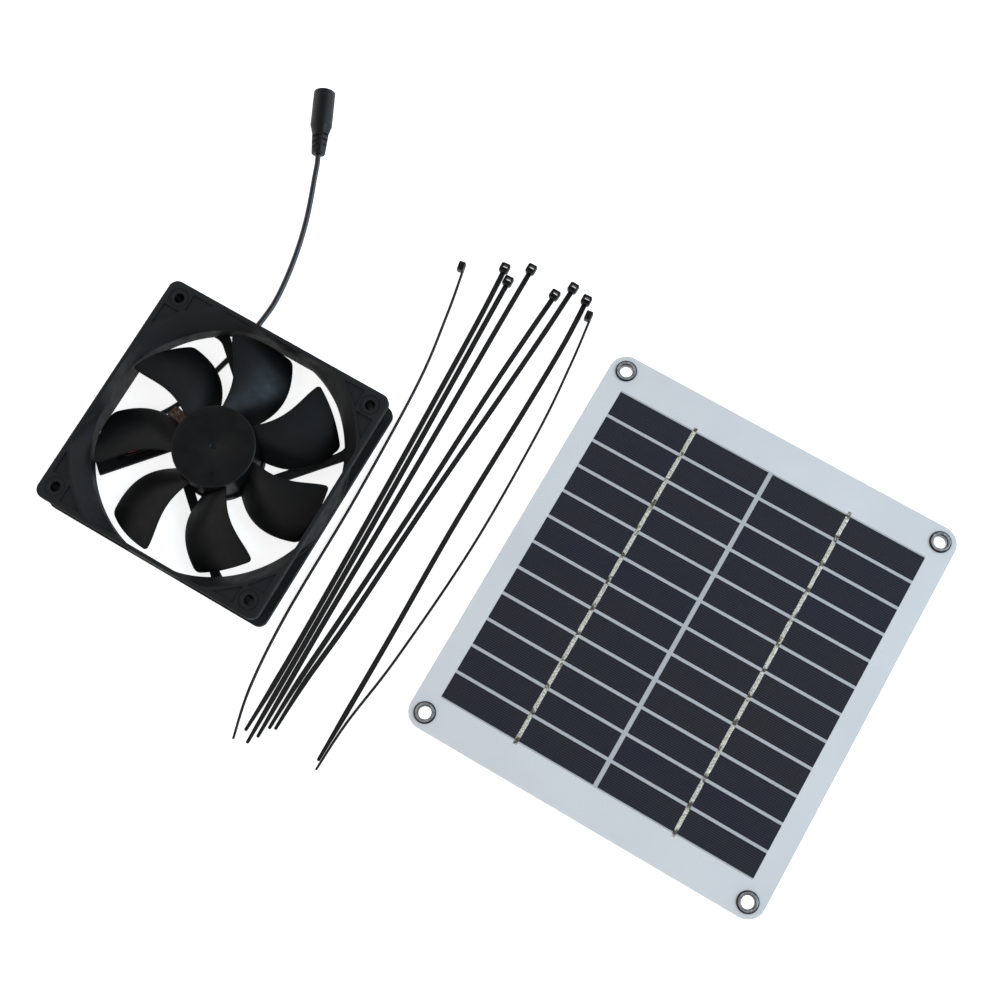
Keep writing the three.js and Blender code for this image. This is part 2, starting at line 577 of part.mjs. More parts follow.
// One tie: a strap with a narrowing tail, and a head with a slot through it.
function tie(layout) {
  const curve = tieCurve(layout);
  const length = curve.getLength();
  const rings = [];
  for (let step = 0; step <= TIE.steps; step++) {
    const t = step / TIE.steps;
    const point = curve.getPointAt(t);
    const tangent = curve.getTangentAt(t);
    const tail = Math.max(0, 1 - (length * (1 - t)) / TIE.tail);
    const width = THREE.MathUtils.lerp(TIE.width, TIE.tailWidth, tail);
    const [across, tall] = layout.onEdge ? [TIE.thick, width] : [width, TIE.thick];
    const [x, y] = [(-tangent.y * across) / 2, (tangent.x * across) / 2];
    const low = layout.onEdge ? (TIE.width - width) / 2 : 0;
    rings.push([
      [point.x - x, point.y - y, low + tall], [point.x + x, point.y + y, low + tall],
      [point.x + x, point.y + y, low], [point.x - x, point.y - y, low],
    ]);
  }
  return loft(rings).add(tieHead(layout, curve)).subtract(tieSlot(layout, curve));
}

function atTieHead(body, layout, curve) {
  const tangent = curve.getTangentAt(0);
  const turn = THREE.MathUtils.radToDeg(Math.atan2(tangent.y, tangent.x));
  const placed = layout.onEdge ? body.rotate([90, 0, 0]).translate([0, TIE.thick / 2, TIE.width / 2]) : body;
  return placed.rotate([0, 0, turn]).translate([...layout.head, 0]);
}

function tieHead(layout, curve) {
  const { width, length, height } = TIE_HEAD;
  const outline = roundedRectangle(length, width, 0.9);
  const head = atTieHead(prism(outline, 0, height, 2), layout, curve);
  return layout.onEdge ? head.translate([0, 0, (width - TIE.width) / 2]) : head;
}

function tieSlot(layout, curve) {
  const { slotLength, slotWidth, height, width } = TIE_HEAD;
  const slot = atTieHead(block(slotLength, slotWidth, -1, height + 1, -0.7, 0), layout, curve);
  return layout.onEdge ? slot.translate([0, 0, (width - TIE.width) / 2]) : slot;
}

function buildTies(parent) {
  const nylon = plastic(0x0f1012, 0.35);
  TIES.forEach((layout, i) => addPart(parent, `tie_${i + 1}`, tie(layout), nylon));
}

// ---------------------------------------------------------------- solar panel

function fourCorners(spacingX, spacingY) {
  const [x, y] = [spacingX / 2, spacingY / 2];
  return [[x, y], [-x, y], [-x, -y], [x, -y]];
}

function sheet([bottom, top]) {
  const plate = prism(roundedRectangle(PANEL.width, PANEL.height, PANEL.cornerRadius), bottom, top);
  const holes = fourCorners(...PANEL.holePitch).map(([x, y]) => cylinder(PANEL.holeRadius, 0, 20, 16, x, y));
  return plate.subtract(joined(holes));
}

const columnX = () => (CELLS.width + CELLS.columnGap) / 2;
const fieldHeight = () => CELLS.rows * CELLS.height + (CELLS.rows - 1) * CELLS.rowGap;

// The bonding sheet has one window for each column of cells and its ribbon's ends.
function bondingSheet() {
  const height = fieldHeight() + 0.4;
  const [bottom, top] = [PANEL.sheet[0] - 1, PANEL.sheet[1] + 1];
  const windows = [-1, 1].flatMap((side) => [
    block(CELLS.width + 0.4, height, bottom, top, side * columnX(), 0),
    block(RIBBON.width + 0.4, height + 2 * RIBBON.overhang, bottom, top, side * columnX(), 0),
  ]);
  return sheet(PANEL.sheet).subtract(joined(windows));
}

function cellString(side) {
  const cells = [];
  for (let row = 0; row < CELLS.rows; row++) {
    const y = (row - (CELLS.rows - 1) / 2) * (CELLS.height + CELLS.rowGap);
    cells.push(block(CELLS.width, CELLS.height, CELLS.bottom, CELLS.top, side * columnX(), y));
  }
  const length = fieldHeight() + 2 * RIBBON.overhang;
  const ribbon = block(RIBBON.width, length, CELLS.top - 0.1, RIBBON.top, side * columnX(), 0);
  return joined([...cells, ribbon]);
}

function eyelet() {
  const { inner, barrel, flange: rim, bottom, face, top } = EYELET;
  const curl = barrel + EYELET_CURL.width;
  return revolve([
    [inner, bottom], [curl, bottom], [curl, EYELET_CURL.top], [barrel, EYELET_CURL.top],
    [barrel, face], [rim, face], [rim - 0.5, top], [inner + 0.4, top], [inner, top - 0.35], [inner, bottom],
  ]);
}

function junctionBox() {
  const [bottom, top] = BOX.body;
  const shell = prism(roundedRectangle(BOX.width, BOX.depth, 2.5), bottom, top, 3);
  const inside = block(BOX.width - 2 * BOX.wall, BOX.depth - 2 * BOX.wall, bottom - 1, top - BOX.roof);
  const posts = screwPlaces().map(([x, y]) => block(2 * BOX.post, 2 * BOX.post, bottom, top - 0.5, x, y));
  const outlet = cylinder(GLAND.outer + 0.1, 0, BOX.wall + 2, 20).rotate([90, 0, 0]);
  const hole = outlet.translate([0, -BOX.depth / 2 + BOX.wall + 1, GLAND.height]);
  return shell.subtract(inside).add(joined(posts)).subtract(joined(screwHoles())).subtract(hole);
}

function screwPlaces() {
  return fourCorners(BOX.width - 2 * SCREW.inset, BOX.depth - 2 * SCREW.inset);
}

function screwHoles() {
  return screwPlaces().map(([x, y]) => joined([
    cylinder(SCREW.radius + 0.1, -1, SCREW.top + 0.3, 10, x, y),
    cylinder(SCREW.headRadius + 0.15, -1, SCREW.head[1] + GAP, 12, x, y),
  ]));
}

function screw(x, y) {
  const head = cylinder(SCREW.headRadius, SCREW.head[0], SCREW.head[1], 12, x, y);
  return head.add(cylinder(SCREW.radius, SCREW.head[0], SCREW.top, 10, x, y));
}

function gland() {
  const inner = -BOX.wall - GLAND.nut;
  const body = revolve([
    [GLAND.bore, inner], [GLAND.flange, inner], [GLAND.flange, -BOX.wall - 0.1],
    [GLAND.outer, -BOX.wall - 0.1], [GLAND.outer, 2], [GLAND.outer - 0.8, GLAND.reach],
    [GLAND.bore, GLAND.reach], [GLAND.bore, inner],
  ]);
  return body.rotate([90, 0, 0]).translate([0, -BOX.depth / 2, GLAND.height]);
}

function blockingDiode() {
  const body = cylinder(DIODE.radius, -DIODE.half, DIODE.half, 12);
  const leads = cylinder(DIODE.leadRadius, -DIODE.reach, DIODE.reach, 8);
  return body.add(leads).rotate([0, 90, 0]).translate([0, TERMINAL.y, DIODE.height]);
}

function terminal(x) {
  return block(TERMINAL.width, TERMINAL.depth, TERMINAL.bottom, TERMINAL.top, x, TERMINAL.y);
}

function buildJunctionBox(parent) {
  const black = plastic(0x17181a, 0.5);
  const steel = metal(0xb4b7ba, 0.3);
  const lid = prism(roundedRectangle(BOX.width, BOX.depth, 2.5), ...BOX.lid, 3).subtract(joined(screwHoles()));
  addPart(parent, 'junction_box', junctionBox(), black);
  addPart(parent, 'junction_box_lid', lid, black);
  screwPlaces().forEach(([x, y], i) => addPart(parent, `lid_screw_${i + 1}`, screw(x, y), steel));
  addPart(parent, 'cable_gland', gland(), black);
  addPart(parent, 'blocking_diode', blockingDiode(), plastic(0x202022, 0.4));
  addPart(parent, 'terminal_positive', terminal(TERMINAL.x), metal(0xc9a24b, 0.35));
  addPart(parent, 'terminal_negative', terminal(-TERMINAL.x), metal(0xc9a24b, 0.35));
}

function buildPanel(parent) {
  const silicon = plastic(0x1c2034, 0.3);
  addPart(parent, 'panel_board', sheet(PANEL.board), plastic(0xdfe5ea, 0.6));
  addPart(parent, 'bonding_sheet', bondingSheet(), plastic(0xd3dbe3, 0.5));
  addPart(parent, 'cell_string_left', cellString(-1), silicon);
  addPart(parent, 'cell_string_right', cellString(1), silicon);
  addPart(parent, 'front_film', sheet(PANEL.film), plastic(0xd3dbe3, 0.25));
  const nickel = metal(0x55575c, 0.3);
  fourCorners(...PANEL.holePitch).forEach(([x, y], i) => {
    const { inner, outer, bottom } = EYELET_WASHER;
    const washer = tube(inner, outer, bottom, PANEL.board[0] - GAP);
    addPart(parent, `eyelet_${i + 1}`, eyelet().translate([x, y, 0]), nickel);
    addPart(parent, `eyelet_washer_${i + 1}`, washer.translate([x, y, 0]), nickel);
  });
  buildJunctionBox(parent);
}

// ---------------------------------------------------------------- the kit

function groupAt([x, y], build) {
  const group = new THREE.Group();
  group.position.set(x, y, 0);
  build(group);
  return group;
}

const kit = new THREE.Group();
kit.add(groupAt(FAN_AT, buildFan));
kit.add(groupAt(FAN_AT, buildTies));
kit.add(groupAt(PANEL_AT, buildPanel));

export default kit;
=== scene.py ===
# Looks of the solar attic fan kit: a fan with its lead, eight cable ties and a solar panel.
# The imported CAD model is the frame. Fine meshes are worked out in millimetres about the
# fan's or the panel's centre, and procedural materials give every piece its surface.
from math import atan2, cos, degrees, exp, log, pi, prod, radians, sin, sqrt
from types import SimpleNamespace as Sizes

import bmesh
import bpy
import numpy as np
from mathutils import Matrix, Vector


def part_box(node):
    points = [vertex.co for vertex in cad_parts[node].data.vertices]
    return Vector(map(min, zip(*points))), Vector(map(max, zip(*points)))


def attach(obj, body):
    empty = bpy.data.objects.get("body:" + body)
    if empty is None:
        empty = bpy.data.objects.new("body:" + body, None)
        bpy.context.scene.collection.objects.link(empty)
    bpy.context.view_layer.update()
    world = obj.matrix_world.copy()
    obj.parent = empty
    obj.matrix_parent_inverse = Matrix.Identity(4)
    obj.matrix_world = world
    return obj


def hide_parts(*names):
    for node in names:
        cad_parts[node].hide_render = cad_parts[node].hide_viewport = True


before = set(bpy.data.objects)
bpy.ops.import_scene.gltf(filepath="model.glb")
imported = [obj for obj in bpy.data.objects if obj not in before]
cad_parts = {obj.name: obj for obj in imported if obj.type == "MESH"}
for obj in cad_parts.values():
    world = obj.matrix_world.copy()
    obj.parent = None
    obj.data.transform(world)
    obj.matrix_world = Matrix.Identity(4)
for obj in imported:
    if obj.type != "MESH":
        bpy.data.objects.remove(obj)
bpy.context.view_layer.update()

MM = 0.001
SHARP_ANGLE = 32


def centre_of(node):
    """The middle of a CAD node in plan, in millimetres."""
    low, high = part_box(node)
    return Vector(((low.x + high.x) / 2 / MM, (low.y + high.y) / 2 / MM, 0))


FAN_AT = centre_of("fan_frame")
PANEL_AT = centre_of("panel_board")

# ---- driving sizes, mm

FAN = Sizes(
    side=120, depth=25, corner=4.5, flange=4, hole_pitch=105, hole=2.4, boss=4.7, post=4.4,
    duct_inner=59.3, duct_outer=60.7, flare=66, flare_from=14, rear_flare=62.6, rear_to=5,
    side_wall=1.9, pocket_depth=0.6, pocket_inset=2.8, pocket_reach=36,
)
BASE = Sizes(bottom=0.4, floor=2.4, radius=20.6, rim=19, top=5.2, boss=(4.55, 6.2), boss_top=4)
STRUT = Sizes(
    count=4, inner=(19, -40.5), outer=(59.9, 30.9), width=4.5, bottom=2.9, top=5.2,
    fillet=((51.9, 1), (51.9, 2.2), (54.5, 2.6), (56.5, 3.5), (58.2, 4.95), (56.9, 1)),
)
CHANNEL = Sizes(
    strut=2, edges=(0.6, 8.4), line=3, width=2.9, floor=3.75, start=8, end=46.5, out_from=40,
)
NOTCH = Sizes(at=(-21.55, 57), towards=(0.9, 7.4), length=16, width=3.4, top=2.8)
TAB = Sizes(angle=166.8, reach=33.6, width=6.2, bottom=4.1, top=5.1)
HUB = Sizes(
    radius=19.7, wall=1.6, bottom=5.6, top=24, bevel=0.9, crown=1.8, shaft=1.55, collar=3,
    collar_bottom=17.6, shaft_end=21.7,
)
HUB_MARK = Sizes(at=(13.6, -60), radius=1.15, depth=0.18)
BLADE = Sizes(
    count=7, root=18.8, tip=56.4, thickness=1.5, leading_top=(20.8, 19.4),
    trailing_bottom=(6.3, 6.3), camber=0.5, tip_corner=1.8,
)
# The angle of a blade's edges, in degrees, at four radii.
EDGE_RADII = (18.8, 31, 43, 56)
LEADING_EDGE = (114, 108.1, 110.9, 114.2)
TRAILING_EDGE = (73.8, 69.2, 74.2, 84.6)
BLADE_STEPS = 28

WIRE_RADIUS = 0.55
LEAD_DIAMETER = 2.7
LEAD_REST = 1.38
# The lead's route from the fan's centre, as the CAD source lays it.
LEAD_ROUTE = [
    (-45.9, -17.2, 1.8), (-46.6, -12.6, 1.45),
    *[(x, y, LEAD_REST) for x, y in (
        (-44.8, -7), (-41.2, -1.7), (-37.1, 4), (-33.1, 11), (-29.8, 20), (-27.3, 29),
        (-25.3, 37.5), (-23.4, 45.6), (-22, 53.6), (-21.1, 61), (-20.2, 69.4), (-19.9, 78),
        (-20.9, 88), (-22.9, 99.5), (-25.9, 112),
    )],
    (-29.6, 124, 1.6), (-33.4, 134.6, 2.8), (-36.2, 142.2, 4.4), (-38.6, 148.7, 5.2),
    (-40.7, 153, 5.3),
]
SOCKET = Sizes(
    relief=11.5, cone=3.5, barrel=18.6, relief_radii=(3.4, 4.1), radius=5.3, rounding=0.9,
    mouth=2.85, mouth_depth=10, pin=1.05, pin_rounding=0.7, sleeve_wall=0.35,
)
SOCKET_END = SOCKET.relief + SOCKET.cone + SOCKET.barrel

TIE = Sizes(width=2.5, thick=1.0, bevel=0.16, tail=24, tail_width=1.5)
TEETH = Sizes(pitch=0.56, depth=0.24, start=9, stop_short=3)
TIE_HEAD = Sizes(
    width=4.6, length=4.8, height=3.2, slot_at=-0.7, slot_width=2.7, slot_length=1.3,
)
END_INSET = 0.05
SWAY_AT = (0.1, 0.25, 0.5, 0.75, 0.9)
# Each tie's head, tip, sideways bow at those fractions, and whether it stands on edge.
TIES = [
    ((50.6, 138.9), (75, -108.9), (2.65, 4.6, 1.8, -3.35, -3.6), True),
    ((67.9, 148.7), (77.6, -103), (0.95, 1.45, 1.85, 1.7, 1.1), False),
    ((72.65, 143.7), (81.3, -107.4), (0.17, 0.54, 0.88, 0.66, 0.24), False),
    ((79.3, 154.6), (84, -102.8), (-0.05, 0.1, 0.2, -0.25, -0.1), False),
    ((95.7, 148.8), (86.5, -96.9), (-0.5, -0.75, -0.1, -0.35, -0.7), False),
    ((101.7, 156.3), (89.1, -95.7), (0.35, 0.2, -0.5, 0.05, -0.85), False),
    ((110.3, 154), (113.4, -97.9), (1.1, 0.75, -0.55, 0.1, 0.15), False),
    ((116.4, 147.4), (114.9, -101.8), (3.45, 6.85, 8.35, 5.1, 0.85), True),
]

PANEL = Sizes(width=180, height=200, corner=8.5, hole=3.6, pitch=(164, 184.8))
BOARD_Z = (9, 10.3)
LAMINATE_Z = (10.35, 11.22)
FILM_Z = (11.36, 11.4)
CELLS = Sizes(rows=12, width=78.2, height=12.3, row_gap=1.55, column_gap=2.2, z=(10.5, 11.2))
CELL_PITCH = CELLS.height + CELLS.row_gap
COLUMN_AT = (CELLS.width + CELLS.column_gap) / 2
FINGER_PITCH = 0.98
RIBBON = Sizes(width=1.9, overhang=2, bottom=11.14, crown=0.17)
EYELET = Sizes(inner=3, barrel=3.45, flange=5.1, bottom=7.6, face=11.45, top=12.15, curl=4.35)
WASHER = Sizes(inner=3.55, outer=5.3, bottom=8.3, top=8.95)


def put_in_scene(name, data):
    item = bpy.data.objects.new(name, data)
    bpy.context.scene.collection.objects.link(item)
    return item


# ---- camera

FOCAL = 58.75
CAMERA_FROM_FAN = (226.42, -93.88, 745.23)
CAMERA_RIGHT = (0.86358, 0.50369, -0.02288)
CAMERA_DOWN = (0.48604, -0.84368, -0.22798)


def make_camera():
    data = bpy.data.cameras.new("camera")
    data.lens = FOCAL
    data.sensor_width = 36
    camera = put_in_scene("camera", data)
    right = Vector(CAMERA_RIGHT).normalized()
    up = -Vector(CAMERA_DOWN).normalized()
    back = right.cross(up)
    turn = Matrix((right, up, back)).transposed().to_4x4()
    camera.matrix_world = Matrix.Translation((FAN_AT + Vector(CAMERA_FROM_FAN)) * MM) @ turn
    bpy.context.scene.camera = camera


make_camera()

# ---- shapes
# A shape is a pair: an array of points in millimetres, and a list of faces.


def curve_through(points, steps, even=False):
    """Points of a smooth curve through the given ones, with steps in each stretch.
    Even spacing ignores how far apart the given points are."""
    p = [Vector(point) for point in points]
    ends = (p[0], p[-1]) if even else (2 * p[0] - p[1], 2 * p[-1] - p[-2])
    p = [ends[0], *p, ends[1]]
    found = []
    for a, b, c, d in zip(p, p[1:], p[2:], p[3:]):
        pairs = ((a, b), (b, c), (c, d))
        gaps = [1.0 if even else max((v - u).length, 1e-4) ** 0.5 for u, v in pairs]
        first = ((b - a) / gaps[0] - (c - a) / (gaps[0] + gaps[1]) + (c - b) / gaps[1]) * gaps[1]
        last = ((c - b) / gaps[1] - (d - b) / (gaps[1] + gaps[2]) + (d - c) / gaps[2]) * gaps[1]
        for step in range(steps):
            t = step / steps
            found.append(
                b * (2 * t**3 - 3 * t**2 + 1) + first * (t**3 - 2 * t**2 + t)
                + c * (3 * t**2 - 2 * t**3) + last * (t**3 - t**2)
            )
    return [*found, p[-2].copy()]


def loft(rings, closed=False):
    """A skin over rings of equal count. It closes on itself, or ends in flat caps."""
    count = len(rings[0])
    faces = []
    for ring in range(len(rings) if closed else len(rings) - 1):
        here, there = ring * count, (ring + 1) % len(rings) * count
        for i in range(count):
            j = (i + 1) % count
            faces.append((here + i, here + j, there + j, there + i))
    if not closed:
        faces.append(tuple(reversed(range(count))))
        faces.append(tuple(range((len(rings) - 1) * count, len(rings) * count)))
    return np.array([tuple(p) for ring in rings for p in ring], float), faces


def lathe(profile, segments=96):
    """A closed profile of (radius, z) pairs turned about Z. Its ends may lie on the axis."""
    points, index, faces = [], [], []
    closed = profile[0] == profile[-1]
    for radius, z in profile[:-1] if closed else profile:
        if radius == 0:
            index.append([len(points)] * segments)
            points.append((0, 0, z))
            continue
        index.append(list(range(len(points), len(points) + segments)))
        for i in range(segments):
            angle = 2 * pi * i / segments
            points.append((radius * cos(angle), radius * sin(angle), z))
    pairs = list(zip(index, index[1:]))
    if closed:
        pairs.append((index[-1], index[0]))
    for low, high in pairs:
        for i in range(segments):
            j = (i + 1) % segments
            face = list(dict.fromkeys((low[i], low[j], high[j], high[i])))
            if len(face) > 2:
                faces.append(tuple(face))
    return np.array(points, float), faces


def arc(centre, radius, start, end, steps):
    """Points of an arc, in degrees, as (x, y) pairs."""
    angles = [radians(start + (end - start) * i / steps) for i in range(steps + 1)]
    return [(centre[0] + radius * cos(a), centre[1] + radius * sin(a)) for a in angles]


def rounded_outline(width, height, radius, steps=12):
    x, y = width / 2 - radius, height / 2 - radius
    corners = (((x, y), 0), ((-x, y), 90), ((-x, -y), 180), ((x, -y), 270))
    return [p for centre, start in corners for p in arc(centre, radius, start, start + 90, steps)]


def slab(width, height, radius, bottom, top, bevel, steps=12):
    """A rounded rectangular slab with bevelled edges above and below."""
    rings = []
    for inset, z in ((bevel, bottom), (0, bottom + bevel), (0, top - bevel), (bevel, top)):
        corner = max(radius - inset, 0.05)
        outline = rounded_outline(width - 2 * inset, height - 2 * inset, corner, steps)
        rings.append([(x, y, z) for x, y in outline])
    return loft(rings)


def prism(outline, bottom, top):
    return loft([[(x, y, z) for x, y in outline] for z in (bottom, top)])


def block(width, depth, bottom, top, x=0.0, y=0.0, bevel=0.0):
    if bevel:
        return moved(slab(width, depth, bevel, bottom, top, bevel, 3), x, y)
    signs = ((1, -1), (1, 1), (-1, 1), (-1, -1))
    outline = [(x + sx * width / 2, y + sy * depth / 2) for sx, sy in signs]
    return prism(outline, bottom, top)


def cylinder(radius, bottom, top, x=0.0, y=0.0, segments=48):
    profile = [(0, bottom), (radius, bottom), (radius, top), (0, top)]
    return moved(lathe(profile, segments), x, y)


def ring(inner, outer, bottom, top, bevel=0.1, segments=64):
    profile = [
        (inner, bottom + bevel), (inner + bevel, bottom), (outer - bevel, bottom),
        (outer, bottom + bevel), (outer, top - bevel), (outer - bevel, top),
        (inner + bevel, top), (inner, top - bevel), (inner, bottom + bevel),
    ]
    return lathe(profile, segments)


def tube(points, radius, sides):
    """A round tube along a line of points, with flat ends."""
    p = [Vector(point) for point in points]
    rings, across = [], Vector((0, 0, 1))
    for i, point in enumerate(p):
        along = (p[min(i + 1, len(p) - 1)] - p[max(i - 1, 0)]).normalized()
        across = (across - along * across.dot(along)).normalized()
        side = along.cross(across)
        angles = [2 * pi * k / sides for k in range(sides)]
        rings.append([point + radius * (cos(a) * across + sin(a) * side) for a in angles])
    return loft(rings)


def moved(shape, x=0.0, y=0.0, z=0.0, turn=0.0):
    """A shape turned about Z, in degrees, and then shifted."""
    points, faces = shape
    c, s = cos(radians(turn)), sin(radians(turn))
    spin = np.array(((c, -s, 0), (s, c, 0), (0, 0, 1)))
    return points @ spin.T + np.array((x, y, z)), faces


def placed(shape, matrix):
    points, faces = shape
    m = np.array(matrix, float)
    return points @ m[:3, :3].T + m[:3, 3], faces


def merged(shapes):
    points, faces, start = [], [], 0
    for part, part_faces in shapes:
        points.append(part)
        faces += [tuple(i + start for i in face) for face in part_faces]
        start += len(part)
    return np.concatenate(points), faces


def to_mesh(shape, name):
    mesh = bpy.data.meshes.new(name)
    mesh.from_pydata([tuple(p) for p in shape[0]], [], shape[1])
    tidy = bmesh.new()
    tidy.from_mesh(mesh)
    bmesh.ops.recalc_face_normals(tidy, faces=tidy.faces)
    tidy.to_mesh(mesh)
    tidy.free()
    return mesh


def combined(first, second, operation):
    """Two closed shapes joined (UNION) or cut (DIFFERENCE)."""
    objects = [put_in_scene("scratch", to_mesh(shape, "scratch")) for shape in (first, second)]
    modifier = objects[0].modifiers.new("combine", "BOOLEAN")
    modifier.object, modifier.operation, modifier.solver = objects[1], operation, "MANIFOLD"
    view = bpy.context.evaluated_depsgraph_get()
    result = bpy.data.meshes.new_from_object(objects[0].evaluated_get(view))
    shape = (
        np.array([tuple(v.co) for v in result.vertices], float),
        [tuple(p.vertices) for p in result.polygons],
    )
    for item in objects:
        bpy.data.objects.remove(item)
    return shape


def joined(shapes):
    whole = shapes[0]
    for shape in shapes[1:]:
        whole = combined(whole, shape, "UNION")
    return whole


def cut(shape, *cutters):
    """Cuts with one cutter after another, since they may overlap."""
    for cutter in cutters:
        shape = combined(shape, cutter, "DIFFERENCE")
    return shape


def smooth(mesh, sharp):
    """Shades a mesh smooth, but for the edges that are sharper than an angle in degrees."""
    mesh.shade_smooth()
    mesh.set_sharp_from_angle(angle=radians(sharp))


def add_piece(name, shape, body, material, replaces=(), sharp=SHARP_ANGLE):
    """Makes a Blender object of a shape laid out about the panel's or the fan's centre."""
    points, faces = shape
    at = PANEL_AT if body == "solar_panel" else FAN_AT
    mesh = to_mesh(((points + np.array(at)) * MM, faces), name)
    smooth(mesh, sharp)
    mesh.materials.append(material)
    item = put_in_scene(name, mesh)
    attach(item, body)
    if replaces:
        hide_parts(*replaces)
    return item


# ---- materials


class Nodes:
    """A tree of shader nodes that is built up step by step."""

    def __init__(self, tree):
        self.tree = tree

    def node(self, kind, inputs=None, **settings):
        made = self.tree.nodes.new("ShaderNode" + kind)
        for key, value in settings.items():
            setattr(made, key, value)
        for key, value in (inputs or {}).items():
            self.feed(made.inputs[key], value)
        return made

    def feed(self, socket, value):
        if isinstance(value, bpy.types.NodeSocket):
            self.tree.links.new(value, socket)
        else:
            socket.default_value = value

    def spread(self, value, low, high, start=0.35, end=0.65):
        """Stretches a part of a range of numbers, such as the middle of a noise."""
        inputs = {"Value": value, "From Min": start, "From Max": end, "To Min": low, "To Max": high}
        return self.node("MapRange", inputs).outputs["Result"]


class Look(Nodes):
    """One procedural material, built up from a principled shader."""

    def __init__(self, name, roughness, metallic=0.0, coat=0.0, coat_roughness=0.1, specular=0.5):
        self.material = bpy.data.materials.new(name)
        self.material.use_nodes = True
        super().__init__(self.material.node_tree)
        self.shader = self.tree.nodes["Principled BSDF"]
        self.set("Roughness", roughness)
        self.set("Metallic", metallic)
        self.set("Coat Weight", coat)
        self.set("Coat Roughness", coat_roughness)
        self.set("Specular IOR Level", specular)
        self.place = self.node("TexCoord").outputs["Object"]

    def set(self, name, value):
        """Sets an input of the shader to a number, or feeds it from another node."""
        self.feed(self.shader.inputs[name], value)

    def math(self, operation, a, b=0.0, c=0.5):
        return self.node("Math", {0: a, 1: b, 2: c}, operation=operation).outputs[0]

    def from_half(self, value):
        """How far the fraction of a number is from a half."""
        fraction = self.math("FRACT", value)
        return self.math("ABSOLUTE", self.math("SUBTRACT", fraction, 0.5))

    def noise(self, size, detail=3.0, stretch=None):
        """Noise from 0 to 1, with features of about the given size in millimetres."""
        where = self.place
        if stretch:
            where = self.node("Mapping", {"Vector": where, "Scale": stretch}).outputs[0]
        inputs = {"Vector": where, "Scale": 1000.0 / size, "Detail": detail}
        return self.node("TexNoise", inputs).outputs["Fac"]

    def clouds(self, size, detail, start=0.35, end=0.65, stretch=None):
        """A noise spread from 0 to 1."""
        return self.spread(self.noise(size, detail, stretch), 0, 1, start, end)

    def axes(self):
        """The three coordinates of a place on the surface, by the names X, Y and Z."""
        return self.node("SeparateXYZ", {"Vector": self.place}).outputs

    def mix(self, share, first, second):
        """A colour between two, by a share from 0 to 1."""
        ends = [(*c, 1.0) if isinstance(c, tuple) else c for c in (first, second)]
        inputs = {0: share, 6: ends[0], 7: ends[1]}
        return self.node("Mix", inputs, data_type="RGBA").outputs[2]

    def paint(self, share, first, second):
        self.set("Base Color", self.mix(share, first, second))

    def bump(self, height, depth, strength=1.0):
        """Raises the surface by height, where 1 stands for a depth in millimetres."""
        inputs = {"Height": height, "Distance": depth * MM, "Strength": strength}
        self.set("Normal", self.node("Bump", inputs).outputs[0])


def moulded(name, dark, light, roughness, grain=0.35, depth=0.012, specular=0.5):
    """Moulded plastic: a fine eroded grain, slight patches of tone and of gloss."""
    look = Look(name, roughness)
    facing = look.node("LayerWeight", {"Blend": 0.35}).outputs["Facing"]
    look.set("Specular IOR Level", look.spread(facing, specular, specular / 12, 0.25, 0.7))
    look.paint(look.clouds(14, 4), dark, light)
    look.set("Roughness", look.spread(look.noise(5, 5), roughness - 0.05, roughness + 0.07))
    look.bump(look.noise(grain, 2), depth, 0.6)
    return look.material


def metal(name, base, tarnish, roughness, size=6.0, stretch=None):
    """Metal with cloudy tarnish and fine scratches or turning marks."""
    look = Look(name, roughness, metallic=1.0)
    look.paint(look.clouds(size, 5, 0.42, 0.72), base, tarnish)
    marks = look.noise(0.6, 3, stretch)
    look.set("Roughness", look.spread(marks, roughness - 0.06, roughness + 0.1))
    look.bump(marks, 0.004, 0.5)
    return look.material


def banded(look, bands_per_metre, dark, light, depth, distortion=0.0):
    """Level bands up a part, such as turns of wire or thin plates."""
    inputs = {"Vector": look.place, "Scale": bands_per_metre, "Distortion": distortion}
    bands = look.node("TexWave", inputs, bands_direction="Z").outputs["Fac"]
    look.paint(bands, dark, light)
    look.bump(bands, depth)
    return look.material


def winding():
    """Enamelled copper wire laid in close turns."""
    look = Look("copper_winding", 0.28, metallic=0.85, coat=0.6)
    return banded(look, 700.0, (0.3, 0.1, 0.03), (0.72, 0.32, 0.12), 0.12, 0.6)


def laminations():
    look = Look("stator_laminations", 0.45, metallic=1.0)
    return banded(look, 320.0, (0.16, 0.16, 0.17), (0.42, 0.43, 0.45), 0.05)


def solder_board():
    """Brown board laminate with dull solder and flux on it."""
    look = Look("board_and_solder", 0.35, coat=0.3)
    solder = look.clouds(1.6, 3, 0.52, 0.6)
    flux = look.mix(look.noise(3, 4), (0.1, 0.045, 0.02), (0.22, 0.12, 0.06))
    look.paint(solder, flux, (0.3, 0.28, 0.25))
    look.bump(solder, 0.15)
    return look.material


def label_film():
    """A plain silvery label with two printed rings and no lettering."""
    look = Look("label_film", 0.35, metallic=0.4)
    to_fan = tuple(-FAN_AT * MM)
    offset = look.node("VectorMath", {0: look.place, 1: to_fan}, operation="ADD").outputs[0]
    radius = look.node("VectorMath", {0: offset}, operation="LENGTH").outputs["Value"]
    printed = [look.math("COMPARE", radius, at * MM, 0.25 * MM) for at in (14.5, 16.2)]
    either = look.math("MAXIMUM", *printed)
    look.paint(either, (0.62, 0.63, 0.65), (0.05, 0.05, 0.06))
    look.bump(look.noise(0.5, 2), 0.01)
    return look.material


